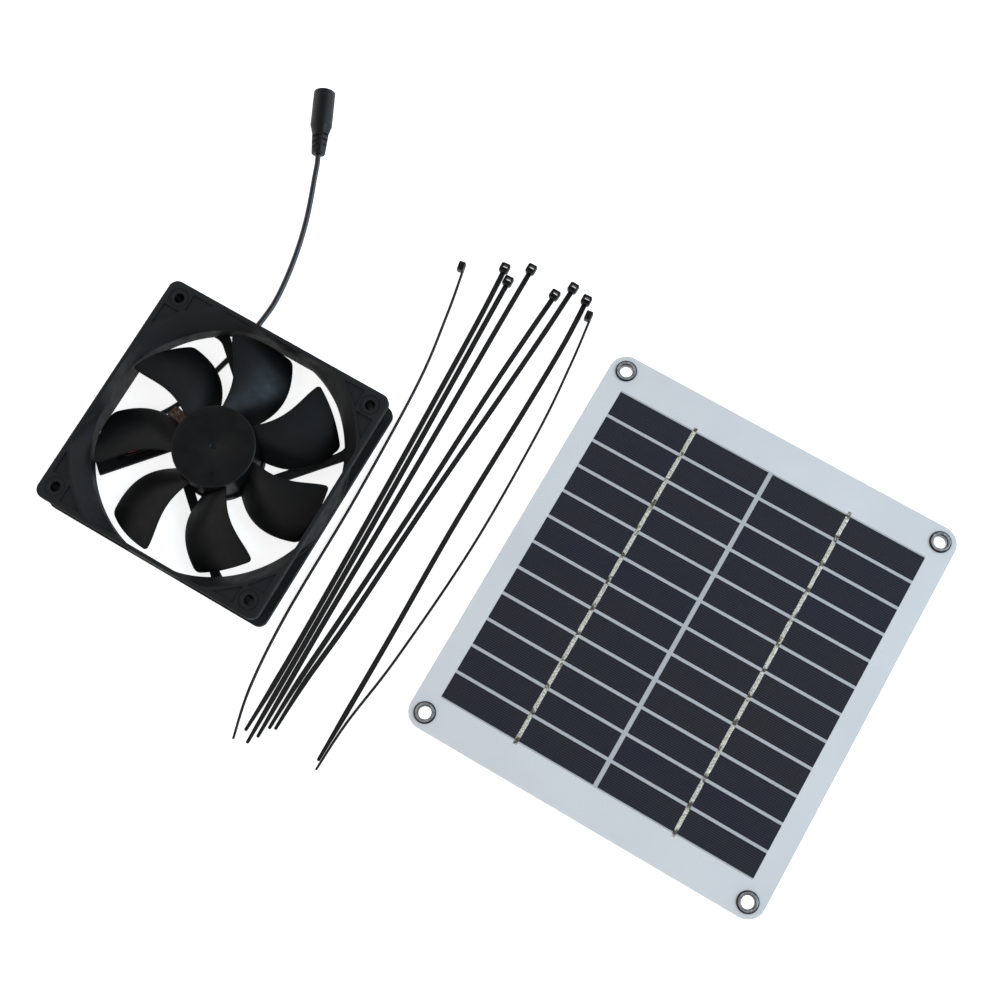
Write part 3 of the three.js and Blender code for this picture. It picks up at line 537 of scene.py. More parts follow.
def between_cells(look):
    """1 within the block of cells, where the sheet shows only as thin lines, 0 outside it."""
    place = look.axes()
    half_width = CELLS.width + CELLS.column_gap / 2
    half_height = CELLS.rows * CELL_PITCH / 2
    inside = [
        look.math("COMPARE", place[axis], middle * MM, half * MM)
        for axis, middle, half in (("X", PANEL_AT.x, half_width), ("Y", PANEL_AT.y, half_height))
    ]
    return look.math("MULTIPLY", *inside)


def panel_white(name, base, shade, roughness, coat, lines=None):
    """Milky encapsulated sheet: nearly even, with faint clouds and a very fine emboss."""
    look = Look(name, roughness, coat=coat, coat_roughness=0.28)
    clouded = look.mix(look.clouds(60, 3), base, shade)
    mixed = look.mix(between_cells(look), clouded, lines) if lines else clouded
    look.set("Base Color", mixed)
    look.set("Subsurface Weight", 0.15)
    look.set("Subsurface Radius", (0.0016, 0.0018, 0.002))
    look.bump(look.noise(0.7, 2), 0.006, 0.5)
    return look.material


def clear_film():
    """The clear front sheet: thin, faintly milky, with a soft gloss."""
    look = Look("clear_film", 0.22, specular=0.6)
    look.set("Alpha", 0.008)
    look.paint(look.noise(40, 3), (0.7, 0.76, 0.82), (0.8, 0.85, 0.9))
    look.bump(look.noise(1.1, 3), 0.01, 0.5)
    return look.material


def silicon():
    """Dark crystalline cells: printed finger lines, and a tone that differs by cell."""
    look = Look("silicon_cell", 0.34, coat=0.1, coat_roughness=0.25, specular=0.22)
    place = look.axes()
    first = (PANEL_AT.y - CELLS.rows / 2 * CELL_PITCH) * MM
    rows = look.math("DIVIDE", look.math("SUBTRACT", place["Y"], first), CELL_PITCH * MM)
    column = look.math("GREATER_THAN", place["X"], PANEL_AT.x * MM)
    key = look.node("CombineXYZ", {"X": look.math("FLOOR", rows), "Y": column, "Z": 3.0})
    white_noise = look.node("TexWhiteNoise", {"Vector": key.outputs[0]}, noise_dimensions="3D")
    tone = white_noise.outputs["Value"]
    cloud = look.clouds(22, 3, 0.36, 0.66, stretch=(1, 2.4, 1))
    share = look.math("ADD", look.math("MULTIPLY", tone, 0.55), look.math("MULTIPLY", cloud, 0.45))
    body = look.mix(share, (0.0036, 0.0042, 0.0165), (0.0098, 0.0072, 0.0078))
    wave = look.from_half(look.math("DIVIDE", place["Y"], FINGER_PITCH * MM))
    finger = look.spread(wave, 1, 0, 0.1, 0.2)
    look.paint(look.math("MULTIPLY", finger, 0.55), body, (0.045, 0.048, 0.06))
    look.bump(finger, 0.02, 0.4)
    return look.material


def tinned_ribbon():
    """Tinned tabbing ribbon: bright uneven solder with brown flux where it crosses a gap."""
    look = Look("tinned_ribbon", 0.34, metallic=0.3)
    place = look.axes()
    rows = look.math("DIVIDE", look.math("SUBTRACT", place["Y"], PANEL_AT.y * MM), CELL_PITCH * MM)
    near = look.from_half(look.math("ADD", rows, 0.44))
    blotch = look.spread(look.noise(1.5, 4), -0.12, 0.16)
    flux = look.spread(look.math("ADD", near, blotch), 1, 0, 0.05, 0.17)
    solder = look.mix(look.clouds(0.8, 4, 0.4, 0.62), (0.5, 0.46, 0.36), (0.96, 0.93, 0.83))
    look.paint(flux, solder, (0.1, 0.08, 0.055))
    look.set("Roughness", look.spread(look.noise(1, 3), 0.2, 0.5))
    look.bump(look.noise(0.9, 4), 0.06, 0.7)
    return look.material


def dark_nickel():
    """Gun-metal plating, with a painted highlight in noisy patches where it faces up."""
    look = Look("dark_nickel", 0.28, metallic=0.7)
    normal = look.node("SeparateXYZ", {"Vector": look.node("NewGeometry").outputs["Normal"]})
    up = look.spread(normal.outputs["Z"], 0, 1, 0.9, 0.985)
    # Painted highlight: faces that point up are painted light grey, broken into patches by noise.
    painted_highlight = look.math("MULTIPLY", up, look.spread(look.noise(1.4, 4), 0.45, 1))
    look.paint(painted_highlight, (0.008, 0.0075, 0.008), (0.66, 0.66, 0.67))
    look.bump(look.noise(0.5, 3), 0.008)
    return look.material


def jacket(name, base, light, roughness):
    """Soft vinyl or wire insulation with a faint drawn grain."""
    look = Look(name, roughness, coat=0.15, coat_roughness=0.3)
    look.paint(look.clouds(6, 3), base, light)
    look.bump(look.noise(0.5, 3), 0.01, 0.5)
    return look.material


FRAME_BLACK = moulded(
    "fan_plastic", (0.0044, 0.005, 0.006), (0.0064, 0.0072, 0.0084), 0.58, specular=0.33,
)
BLADE_BLACK = moulded(
    "impeller_plastic", (0.0028, 0.003, 0.0034), (0.0042, 0.0044, 0.005), 0.44, specular=0.24,
)
SOCKET_BLACK = moulded(
    "socket_plastic", (0.0028, 0.0032, 0.004), (0.0045, 0.005, 0.006), 0.4, specular=0.27,
)
TIE_BLACK = moulded(
    "tie_nylon", (0.0035, 0.0036, 0.004), (0.005, 0.0052, 0.0058), 0.32, 0.5, 0.006, specular=0.36,
)
BOX_BLACK = moulded("box_plastic", (0.011, 0.0115, 0.012), (0.015, 0.0155, 0.016), 0.55)
NYLON_WHITE = moulded("white_nylon", (0.68, 0.66, 0.6), (0.76, 0.74, 0.69), 0.5)
CHIP_BLACK = moulded("chip_plastic", (0.012, 0.012, 0.013), (0.018, 0.018, 0.019), 0.6)
MAGNET = moulded("bonded_magnet", (0.03, 0.026, 0.024), (0.045, 0.04, 0.038), 0.65)
LEAD_VINYL = jacket("lead_jacket", (0.0045, 0.0055, 0.009), (0.0075, 0.009, 0.014), 0.38)
WIRE_RED = jacket("red_wire", (0.36, 0.012, 0.012), (0.44, 0.02, 0.018), 0.32)
WIRE_BLACK = jacket("black_wire", (0.012, 0.012, 0.014), (0.018, 0.018, 0.02), 0.32)
LAMINATE = panel_white(
    "bonding_film", (0.715, 0.705, 0.71), (0.755, 0.745, 0.745), 0.4, 0.2, lines=(0.5, 0.5, 0.515),
)
BOARD_WHITE = panel_white("white_board", (0.66, 0.7, 0.74), (0.72, 0.76, 0.8), 0.55, 0.0)
STEEL = metal("pressed_steel", (0.5, 0.51, 0.52), (0.36, 0.36, 0.37), 0.35)
GROUND_STEEL = metal("ground_steel", (0.66, 0.67, 0.68), (0.55, 0.56, 0.57), 0.18, 3, (1, 1, 12))
BRASS = metal("turned_brass", (0.72, 0.5, 0.18), (0.5, 0.33, 0.12), 0.28, 4, (1, 1, 12))
BRONZE = metal("sintered_bronze", (0.42, 0.24, 0.11), (0.28, 0.15, 0.07), 0.45)
CAN = metal("capacitor_can", (0.7, 0.71, 0.73), (0.6, 0.61, 0.63), 0.3)
CONTACT = metal("contact_metal", (0.62, 0.63, 0.65), (0.5, 0.5, 0.5), 0.22)
SCREW_STEEL = metal("screw_steel", (0.6, 0.61, 0.63), (0.45, 0.45, 0.46), 0.3)

# ---- lead and socket


def make_lead(pieces_on_it):
    route = [(FAN_AT + point) * MM for point in curve_through(LEAD_ROUTE, 6)]
    data = bpy.data.curves.new("lead", "CURVE")
    data.dimensions = "3D"
    data.bevel_depth = LEAD_DIAMETER / 2 * MM
    data.bevel_resolution = 6
    data.use_fill_caps = True
    line = data.splines.new("POLY")
    line.points.add(len(route) - 1)
    for point, place in zip(line.points, route):
        point.co = (*place, 1)
    line.use_smooth = True
    data.materials.append(LEAD_VINYL)
    lead = put_in_scene("lead", data)
    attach(lead, "fan")
    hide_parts("fan_lead")


def socket_place():
    """The matrix that lays the socket, built along Z, at the lead's end."""
    before, last = Vector(LEAD_ROUTE[-2]), Vector(LEAD_ROUTE[-1])
    direction = Vector((last.x - before.x, last.y - before.y, 0)).normalized()
    turn = Vector((0, 0, 1)).rotation_difference(direction).to_matrix().to_4x4()
    return Matrix.Translation(last + 0.3 * direction) @ turn


def socket_body():
    start, end = SOCKET.relief_radii
    shoulder = SOCKET.relief + SOCKET.cone
    mouth = SOCKET_END
    bore = SOCKET.mouth + SOCKET.sleeve_wall + 0.1
    floor = mouth - SOCKET.mouth_depth
    radius, r = SOCKET.radius, SOCKET.rounding
    profile = [(0, 0), (start - r, 0), *arc((start - r, r), r, -90, 0, 5)[1:]]
    profile += [(end, SOCKET.relief), (end + 0.25, SOCKET.relief + 0.3)]
    profile += [(radius - 0.25, shoulder - 0.25), (radius, shoulder + 0.1), (radius, mouth - r)]
    profile += arc((radius - r, mouth - r), r, 0, 90, 6)[1:]
    profile += [(bore + 0.35, mouth), (bore, mouth - 0.35), (bore, floor), (0, floor)]
    slot = block(5.4, 1.2, 0, 1.3, 0, 3.55, 0.12)
    slots = [
        moved(slot, z=2.2 + 2.8 * rib + 1.4 * (side % 2), turn=90 * side)
        for side in range(4) for rib in range(3)
    ]
    return cut(lathe(profile, 72), merged(slots))


def socket_sleeve(floor):
    wall = SOCKET.mouth + SOCKET.sleeve_wall
    return ring(SOCKET.mouth, wall, floor, SOCKET_END - 0.4)


def socket_pin(floor):
    radius, r = SOCKET.pin, SOCKET.pin_rounding
    tip = SOCKET_END - 1.5
    profile = [(0, floor), (radius, floor), (radius, tip - r)]
    profile += arc((radius - r, tip - r), r, 0, 90, 5)[1:]
    return lathe([*profile, (0, tip)], 32)


def make_socket():
    place = socket_place()
    floor = SOCKET_END - SOCKET.mouth_depth + 0.3
    return [
        add_piece(name, placed(shape, place), "fan", material, [node])
        for name, shape, material, slot, node in (
            ("socket_housing", socket_body(), SOCKET_BLACK, "socket_plastic", "socket_body"),
            ("socket_outer_contact", socket_sleeve(floor), CONTACT, "contact_metal",
             "socket_sleeve"),
            ("socket_centre_pin", socket_pin(floor), CONTACT, "contact_metal", "socket_pin"),
        )
    ]


make_lead(make_socket())

# ---- fan frame


BORE_HEIGHTS = (
    0.3, 1, 2, 3, 4, 4.6, 5, 5.6, 8, 11, 13.3, 14, 14.8, 16, 17.5, 19, 20.5, 22, 23.5, 24.6,
)
HOLE_AT = FAN.hole_pitch / 2


def edge_radius(angle):
    """How far the frame's rounded square outline is from its centre, at an angle."""
    half, corner = FAN.side / 2, FAN.corner
    c, s = abs(cos(angle)), abs(sin(angle))
    middle = half - corner
    reach = half / max(c, s)
    if min(c, s) * reach <= middle:
        return reach
    along = middle * (c + s)
    return along + sqrt(along**2 - (2 * middle**2 - corner**2))


def frame_angles():
    """Angles round the frame, close together at its rounded corners."""
    middle = FAN.side / 2 - FAN.corner
    turn = atan2(middle, FAN.side / 2)
    quarter = [turn * i / 40 for i in range(40)]
    quarter += [atan2(y, x) for x, y in arc((middle, middle), FAN.corner, 0, 90, 12)]
    quarter += [pi / 2 - turn * i / 40 for i in range(39, 0, -1)]
    return [q + side * pi / 2 for side in range(4) for q in quarter]


def soft_min(a, b, softness=0.5):
    return -softness * log(exp(-a / softness) + exp(-b / softness))


def bore_radius(angle, z):
    """The air way: a bore that flares at both ends, short of the frame's flat sides."""
    inner, depth = FAN.duct_inner, FAN.depth
    front = (FAN.flare - inner) * (z - FAN.flare_from) / (depth - FAN.flare_from)
    rear = (FAN.rear_flare - inner) * (FAN.rear_to - z) / FAN.rear_to
    flat = (FAN.side / 2 - FAN.side_wall) / max(abs(cos(angle)), abs(sin(angle)))
    return soft_min(inner + max(front, rear, 0), flat)


def duct_radius(angle, z):
    """The outside of the duct between the two flanges."""
    slope = (FAN.flare - FAN.duct_inner) / (FAN.depth - FAN.flare_from)
    cone = FAN.duct_outer + slope * max(z - FAN.flare_from, 0)
    return min(cone, edge_radius(angle) - 0.3)


def frame_section(angle):
    """The frame's section at one angle, round from the bore's rear lip, as (radius, z)."""
    depth, flange, edge = FAN.depth, FAN.flange, edge_radius(angle)
    section = [(bore_radius(angle, z), z) for z in BORE_HEIGHTS]
    section += [(bore_radius(angle, 24.8) + 0.08, 24.88), (bore_radius(angle, depth) + 0.4, depth)]
    section += [(edge - 0.5, depth), (edge - 0.15, depth - 0.15), (edge, depth - 0.5)]
    low = depth - flange
    section += [(edge, low + 0.1), (edge - 0.1, low)]
    section += [(min(duct_radius(angle, low) + 0.4, edge - 0.2), low)]
    heights = (low - 0.4, 19, 17, 15, 14, 12, 9, 6, flange + 0.4)
    section += [(duct_radius(angle, z), z) for z in heights]
    section += [(min(duct_radius(angle, flange) + 0.4, edge - 0.2), flange), (edge - 0.1, flange)]
    section += [(edge, flange - 0.1), (edge, 0.5), (edge - 0.15, 0.15), (edge - 0.5, 0)]
    section += [(bore_radius(angle, 0) + 0.35, 0)]
    return section


def frame_shell():
    columns = [[(r * cos(a), r * sin(a), z) for r, z in frame_section(a)] for a in frame_angles()]
    return loft([list(row) for row in zip(*columns)], closed=True)


def motor_base():
    b = BASE
    inner, outer = b.boss
    return lathe([
        (0, b.bottom), (b.radius - 0.3, b.bottom), (b.radius, b.bottom + 0.3),
        (b.radius, b.top - 0.3), (b.radius - 0.3, b.top), (b.rim + 0.2, b.top),
        (b.rim, b.top - 0.2), (b.rim, b.floor), (outer, b.floor),
        (outer, b.boss_top - 0.2), (outer - 0.2, b.boss_top), (inner + 0.1, b.boss_top),
        (inner, b.boss_top - 0.1), (inner, b.floor), (0, b.floor),
    ], 128)


def polar(radius, turn):
    """A point in plan at a radius and an angle in degrees."""
    return Vector((radius * cos(radians(turn)), radius * sin(radians(turn))))


STRUT_START = polar(*STRUT.inner)
STRUT_LINE = polar(*STRUT.outer) - STRUT_START
STRUT_TURN = degrees(atan2(STRUT_LINE.y, STRUT_LINE.x))


def along_strut(shape, number):
    """Moves a shape laid out along +X so that it starts at a strut's inner end."""
    laid = moved(shape, STRUT_START.x, STRUT_START.y, turn=STRUT_TURN)
    return moved(laid, turn=360 / STRUT.count * number)


def struts():
    length = STRUT_LINE.length
    bottom, top = STRUT.bottom, STRUT.top
    low, high = CHANNEL.edges
    plain = block(length, STRUT.width, bottom, top, length / 2, 0, 0.35)
    wide = block(length, high - low, bottom, top, length / 2, (low + high) / 2, 0.35)
    fillet = prism(STRUT.fillet, bottom, top)
    inside = cylinder(BASE.rim, BASE.floor, BASE.top + 1, segments=96)
    bars = []
    for number in range(STRUT.count):
        shape = wide if number == CHANNEL.strut else combined(plain, fillet, "UNION")
        bars.append(cut(along_strut(shape, number), inside))
    return bars


def wire_channel():
    c = CHANNEL
    groove = block(c.end - c.start, c.width, c.floor, 8, (c.start + c.end) / 2, c.line)
    length = c.end - c.out_from
    way_out = block(length, STRUT.width, c.floor, 8, c.out_from + length / 2, 0.9)
    return [along_strut(shape, c.strut) for shape in (groove, way_out)]


def cable_notch():
    turn = degrees(atan2(NOTCH.towards[1], NOTCH.towards[0]))
    slot = block(NOTCH.length, NOTCH.width, -1, NOTCH.top, bevel=0.4)
    return moved(slot, *NOTCH.at, turn=turn)


def tab_ledge():
    length = TAB.reach - BASE.rim
    ledge = block(length, TAB.width, STRUT.bottom, TAB.bottom - 0.05, BASE.rim + length / 2)
    return moved(ledge, turn=TAB.angle)


def tab_slot():
    slot = block(9, TAB.width + 0.6, TAB.bottom - 0.05, BASE.top + 1, BASE.radius + 1.2)
    return moved(slot, turn=TAB.angle)


def screw_hole():
    """A screw hole with its chamfers, through both flanges, in the first corner."""
    radius, wide, depth = FAN.hole, FAN.hole + 1.4, FAN.depth
    profile = [(0, -1), (wide, -1), (radius, 0.4), (radius, depth - 0.4), (wide, depth + 1)]
    return moved(lathe([*profile, (0, depth + 1)], 48), HOLE_AT, HOLE_AT)


def boss_groove(z):
    """A fine groove that rings the screw hole, in a face at a height."""
    return moved(ring(FAN.boss - 0.4, FAN.boss, z - 0.25, z + 0.25, 0.05), HOLE_AT, HOLE_AT)


def pocket(bottom, top):
    """A shallow three-cornered recess beside a screw hole, in the first corner."""
    edge = FAN.side / 2 - FAN.pocket_inset
    near = HOLE_AT - FAN.boss - 0.8
    start = sqrt((FAN.flare + 1.6) ** 2 - near**2)
    return prism([(edge, FAN.pocket_reach), (edge, near), (start, near)], bottom, top)


def flipped(shape):
    """The same shape mirrored about the corner's diagonal."""
    points, faces = shape
    return points[:, (1, 0, 2)], [tuple(reversed(face)) for face in faces]


def in_all_corners(shapes):
    return [moved(shape, turn=quarter * 90) for quarter in range(4) for shape in shapes]


def corner_cutters():
    depth = FAN.depth
    recesses = [pocket(depth - FAN.pocket_depth, depth + 1), pocket(-1, FAN.pocket_depth)]
    recesses += [flipped(recess) for recess in recesses]
    return in_all_corners([screw_hole(), boss_groove(depth), boss_groove(0), *recesses])


def posts():
    """The round posts that carry the screw holes from one flange to the other."""
    return in_all_corners([cylinder(FAN.post, 1, FAN.depth - 1, HOLE_AT, HOLE_AT, 64)])


def make_frame():
    base = joined([motor_base(), *struts(), tab_ledge()])
    whole = joined([frame_shell(), base, merged(posts())])
    whole = cut(whole, merged(corner_cutters()), tab_slot(), *wire_channel(), cable_notch())
    add_piece("frame_moulding", whole, "fan", FRAME_BLACK, ["fan_frame"])


make_frame()

# ---- impeller


def edge_angle(radius, table):
    """A blade edge's angle at a radius, on a smooth curve through the table's."""
    x = EDGE_RADII
    four = range(len(x))
    return sum(
        table[i] * prod((radius - x[j]) / (x[i] - x[j]) for j in four if j != i) for i in four
    )


def lerp(a, b, t):
    return a + (b - a) * t


def blade_section(radius):
    """A closed ring of points over the blade, from its trailing to its leading edge and back."""
    b = BLADE
    along = (radius - b.root) / (b.tip - b.root)
    high, low = lerp(*b.leading_top, along), lerp(*b.trailing_bottom, along)
    half = lerp(b.thickness, b.thickness * 0.7, along) / 2
    corner = b.tip_corner
    into = max(0.0, (radius - (b.tip - corner)) / corner)
    trim = degrees(corner * (1 - sqrt(max(0.0, 1 - into**2))) / radius)
    leading = edge_angle(radius, LEADING_EDGE) - trim
    trailing = edge_angle(radius, TRAILING_EDGE) + trim
    round_tip = sqrt(max(0.0, 1 - max(0.0, (radius - (b.tip - 0.5)) / 0.5) ** 2)) * 0.75 + 0.25
    upper, lower = [], []
    for step in range(BLADE_STEPS + 1):
        s = 0.5 - 0.5 * cos(pi * step / BLADE_STEPS)
        back = 1 - s
        z = high - (high - low) * (b.camber * back + (1 - b.camber) * back**2)
        nose = min(1.0, sqrt(max(0.0, min(s, back)) / 0.022))
        thick = half * round_tip * nose * (0.45 + 0.55 * sin(pi * s))
        x, y = polar(radius, lerp(trailing, leading, s))
        upper.append((x, y, z + thick))
        lower.insert(0, (x, y, z - thick))
    return [*upper, *lower[1:-1]]


def blade():
    b = BLADE
    radii = list(np.linspace(b.root - 0.4, b.tip - b.tip_corner, 26))
    closer = (0.25, 0.45, 0.62, 0.76, 0.87, 0.94, 0.98, 1.0)
    radii += [b.tip - b.tip_corner * (1 - t) for t in closer]
    return loft([blade_section(radius) for radius in radii])


def hub():
    h = HUB
    inner, under, top, outer = h.radius - h.wall, h.top - h.crown, h.top, h.radius
    low, collar = h.collar_bottom, h.collar
    rim = arc((outer - h.bevel, top - h.bevel), h.bevel, 0, 90, 8)
    dimple = ((1.75, 0), (1.55, 0.12), (1.35, 0.32), (0.65, 0.36), (0.45, 0.2), (0, 0.16))
    return lathe([
        (0, h.shaft_end), (h.shaft, h.shaft_end), (h.shaft, low + 0.2), (h.shaft + 0.2, low),
        (collar - 0.2, low), (collar, low + 0.2), (collar, under - 0.4), (collar + 0.4, under),
        (inner - 0.4, under), (inner, under - 0.4), (inner, h.bottom + 0.2),
        (inner + 0.2, h.bottom), (outer - 0.3, h.bottom), (outer, h.bottom + 0.3), *rim,
        *[(radius, top - sunk) for radius, sunk in dimple],
    ], 144)


def make_impeller():
    turns = [360 / BLADE.count * number for number in range(BLADE.count)]
    whole = joined([hub(), *[moved(blade(), turn=turn) for turn in turns]])
    mark = HUB_MARK
    whole = cut(whole, cylinder(mark.radius, HUB.top - mark.depth, HUB.top + 1, *polar(*mark.at)))
    add_piece("impeller_moulding", whole, "rotor", BLADE_BLACK,
              ["impeller"], sharp=40)


make_impeller()

# ---- wires and motor


def wire_route(side):
    """One wire along the channel strut, out through its side and down to the lead."""
    turn = STRUT_TURN + CHANNEL.strut * 90
    along = polar(1, turn)
    across = Vector((along.y, -along.x))
    start = polar(STRUT.inner[0], STRUT.inner[1] + CHANNEL.strut * 90)
    z = CHANNEL.floor + WIRE_RADIUS + 0.05
    offset = 0.65 * side
    places = (
        (13.3, offset - 3, z), (25, offset - 3, z), (38, offset - 3, z),
        (41.6 - offset, offset - 2.6, z), (43 - offset, -0.9, z), (43.5 - offset, 1.9, 3.6),
        (43.1 - 0.77 * offset, 4.34 - 0.58 * offset, 2),
    )
    return [(*(start + a * along + b * across), z) for a, b, z in places]


def make_wires():
    for colour, side, material in (("red", 1, WIRE_RED), ("black", -1, WIRE_BLACK)):
        wire = tube(curve_through(wire_route(side), 8), WIRE_RADIUS, 14)
        name = f"{colour}_wire"
        add_piece(name, wire, "fan", material, [f"wire_{colour}"])


def solder_blob(x, y, radius):
    """A low dome of solder on the circuit board's tab."""
    dome = [(radius * cos(a), radius * 0.55 * sin(a)) for a in np.linspace(0, pi / 2, 7)[:-1]]
    return moved(lathe([(0, 0), *dome, (0, radius * 0.55)], 24), x, y, TAB.top)


def make_tab():
    """The circuit board's outer end, with its four soldered joints."""
    length = TAB.reach - BASE.radius - 0.4
    tab = block(length, TAB.width - 0.4, TAB.top + 0.01, TAB.top + 0.06, TAB.reach - length / 2)
    blobs = [solder_blob(TAB.reach - x, y, r) for x, y, r in
             ((1.6, -1, 0.75), (1.7, 1.05, 0.7), (4.6, -0.9, 0.8), (4.9, 1, 0.65))]
    shape = moved(merged([tab, *blobs]), turn=TAB.angle)
    add_piece("board_solder", shape, "fan", solder_board())


make_wires()
make_tab()

# ---- cable ties


def tie_line(head, tip, sway):
    """Evenly spaced points down a tie, each with the direction across it."""
    start, end = Vector((*head, 0)), Vector((*tip, 0))
    line = end - start
    side = Vector((-line.y, line.x, 0)).normalized()
    bowed = [start + line * t + side * bow for t, bow in zip(SWAY_AT, sway)]
    curve = np.array([tuple(p) for p in curve_through([start, *bowed, end], 60, even=True)])
    reached = np.concatenate(([0], np.cumsum(np.linalg.norm(np.diff(curve, axis=0), axis=1))))
    count = round(reached[-1] / TEETH.pitch)
    at = np.linspace(0, reached[-1] - END_INSET, count + 1)
    points = np.stack([np.interp(at, reached, curve[:, k]) for k in range(2)], 1)
    tangents = np.gradient(points, axis=0)
    tangents /= np.linalg.norm(tangents, axis=1)[:, None]
    return points, tangents, at


def strap_section(width, tooth):
    """The strap's section as (across, up): a bevelled bar with a toothed band in its top."""
    half, thick, bevel = width / 2, TIE.thick, TIE.bevel
    band = half - 0.5 * width / TIE.width
    floor = thick - 0.12 - tooth
    return [
        (bevel - half, 0), (half - bevel, 0), (half, bevel), (half, thick - bevel),
        (half - bevel, thick), (band, thick), (band - 0.08, floor), (0.08 - band, floor),
        (-band, thick), (bevel - half, thick), (-half, thick - bevel), (-half, bevel),
    ]


def strap(head, tip, sway, on_edge):
    points, tangents, at = tie_line(head, tip, sway)
    rings = []
    for number, (point, tangent) in enumerate(zip(points, tangents)):
        left = at[-1] - at[number]
        narrowing = max(0.0, 1 - left / TIE.tail)
        width = lerp(TIE.width, TIE.tail_width, narrowing) * min(1, 0.6 + left)
        toothed = at[number] > TEETH.start and left > TEETH.stop_short
        section = strap_section(width, TEETH.depth * (number % 2) if toothed else -0.1)
        across = np.array((-tangent[1], tangent[0]))
        if on_edge:
            section = [(up - TIE.thick / 2, a + TIE.width / 2) for a, up in section]
        rings.append([(*(point + across * a), z) for a, z in section])
    return loft(rings), tangents[0]


def tie_head():
    """A head with rounded corners, a slot right through it, and the pawl's window."""
    h = TIE_HEAD
    top = h.height + 1
    return cut(
        slab(h.length, h.width, 0.9, 0, h.height, 0.3, 6),
        block(h.slot_length, h.slot_width, -1, top, h.slot_at),
        block(h.slot_length + 0.5, h.slot_width + 0.4, h.height - 0.35, top, h.slot_at),
        block(1.0, 2.0, h.height - 0.6, top, 1.15, 0, 0.15),
    )


def stood_on_edge(shape):
    points, faces = shape
    return points[:, (0, 2, 1)] * (1, -1, 1) + (0, TIE.thick / 2, TIE_HEAD.width / 2), faces


def make_ties():
    flat_head = tie_head()
    for number, (head, tip, sway, on_edge) in enumerate(TIES, 1):
        body, tangent = strap(head, tip, sway, on_edge)
        turn = degrees(atan2(tangent[1], tangent[0]))
        end = moved(stood_on_edge(flat_head) if on_edge else flat_head, *head, turn=turn)
        name = f"tie_{number}"
        shape = merged([body, end])
        add_piece(f"cable_{name}", shape, "cable_ties", TIE_BLACK, [name])


make_ties()

# ---- solar panel


def four_corners(width, height):
    return [(sx * width / 2, sy * height / 2) for sx, sy in ((1, 1), (-1, 1), (-1, -1), (1, -1))]


def corner_holes(radius):
    return [cylinder(radius, 0, 20, x, y, 64) for x, y in four_corners(*PANEL.pitch)]


def sheet_of(heights, inset, bevel):
    bottom, top = heights
    width, height = PANEL.width - 2 * inset, PANEL.height - 2 * inset
    shape = slab(width, height, PANEL.corner - inset, bottom, top, bevel)
    return cut(shape, merged(corner_holes(PANEL.hole)))


def cell_places():
    """The middle of each cell, as (column side, x, y)."""
    middle = (CELLS.rows - 1) / 2
    return [
        (side, side * COLUMN_AT, (row - middle) * CELL_PITCH)
        for side in (-1, 1) for row in range(CELLS.rows)
    ]


def make_sheets():
    board = sheet_of(BOARD_Z, 0, 0.12)
    add_piece("back_board", board, "solar_panel", BOARD_WHITE, ["panel_board"])
    windows = [
        block(CELLS.width + 0.1, CELLS.height + 0.1, CELLS.z[0] - 0.05, 12, x, y)
        for _, x, y in cell_places()
    ]
    laminate = cut(sheet_of(LAMINATE_Z, 0.05, 0.1), merged(windows))
    add_piece("laminate", laminate, "solar_panel", LAMINATE, ["bonding_sheet"])
    film = sheet_of(FILM_Z, 0.4, 0.015)
    add_piece("front_sheet", film, "solar_panel", clear_film(), ["front_film"])


def ribbon_strip(side, seed):
    """A soldered ribbon with an uneven edge and crown, down one column of cells."""
    rows, pitch, low = CELLS.rows, CELL_PITCH, RIBBON.bottom
    length = rows * pitch - CELLS.row_gap + 2 * RIBBON.overhang
    random = np.random.default_rng(seed)
    count = round(length / 0.7)
    waves = [
        np.convolve(random.normal(size=count + 9), np.ones(5) / 5, "valid")[: count + 1]
        for _ in range(3)
    ]
    rings = []
    for i in range(count + 1):
        y = -length / 2 + length * i / count
        near_gap = abs((y / pitch + 0.5 * (rows % 2 == 0)) % 1 - 0.5)
        crown = RIBBON.crown * (0.62 + 0.38 * min(1, abs(0.5 - near_gap) * 6)) + 0.02 * waves[2][i]
        crown = min(crown, RIBBON.crown + 0.03)
        left = -RIBBON.width / 2 + 0.09 * waves[0][i]
        right = RIBBON.width / 2 + 0.09 * waves[1][i]
        rings.append([
            (side * COLUMN_AT + x, y, low + z)
            for x, z in ((left, 0), (right, 0), (right, 0.07), (right * 0.6, crown),
                         (0, crown * 0.9), (left * 0.6, crown), (left, 0.07))
        ])
    return loft(rings)


def make_cells():
    silicon_look, ribbon_look = silicon(), tinned_ribbon()
    bottom, top = CELLS.z
    for side, word in ((-1, "left"), (1, "right")):
        cells = [
            moved(slab(CELLS.width, CELLS.height, 0.15, bottom, top, 0.03, 2), x, y)
            for column, x, y in cell_places() if column == side
        ]
        add_piece(f"cells_{word}", merged(cells), "solar_panel", silicon_look,
                  [f"cell_string_{word}"])
        add_piece(f"ribbon_{word}", ribbon_strip(side, 5 + side), "solar_panel",
                  ribbon_look)


def eyelet():
    """A rolled metal eyelet: a barrel, a domed flange above and a curl below."""
    e = EYELET
    dome = arc((e.flange - 0.95, e.face - 0.1), 0.8, 15, 100, 10)
    throat = arc((e.inner + 0.55, e.top - 0.55), 0.55, 90, 180, 8)
    return lathe([
        (e.inner, e.bottom + 0.3), (e.inner + 0.3, e.bottom), (e.curl - 0.3, e.bottom),
        (e.curl, e.bottom + 0.3), (e.curl - 0.1, e.bottom + 0.6), (e.barrel, e.bottom + 0.65),
        (e.barrel, e.face), (e.flange, e.face), *dome, *throat, (e.inner, e.bottom + 0.3),
    ], 72)


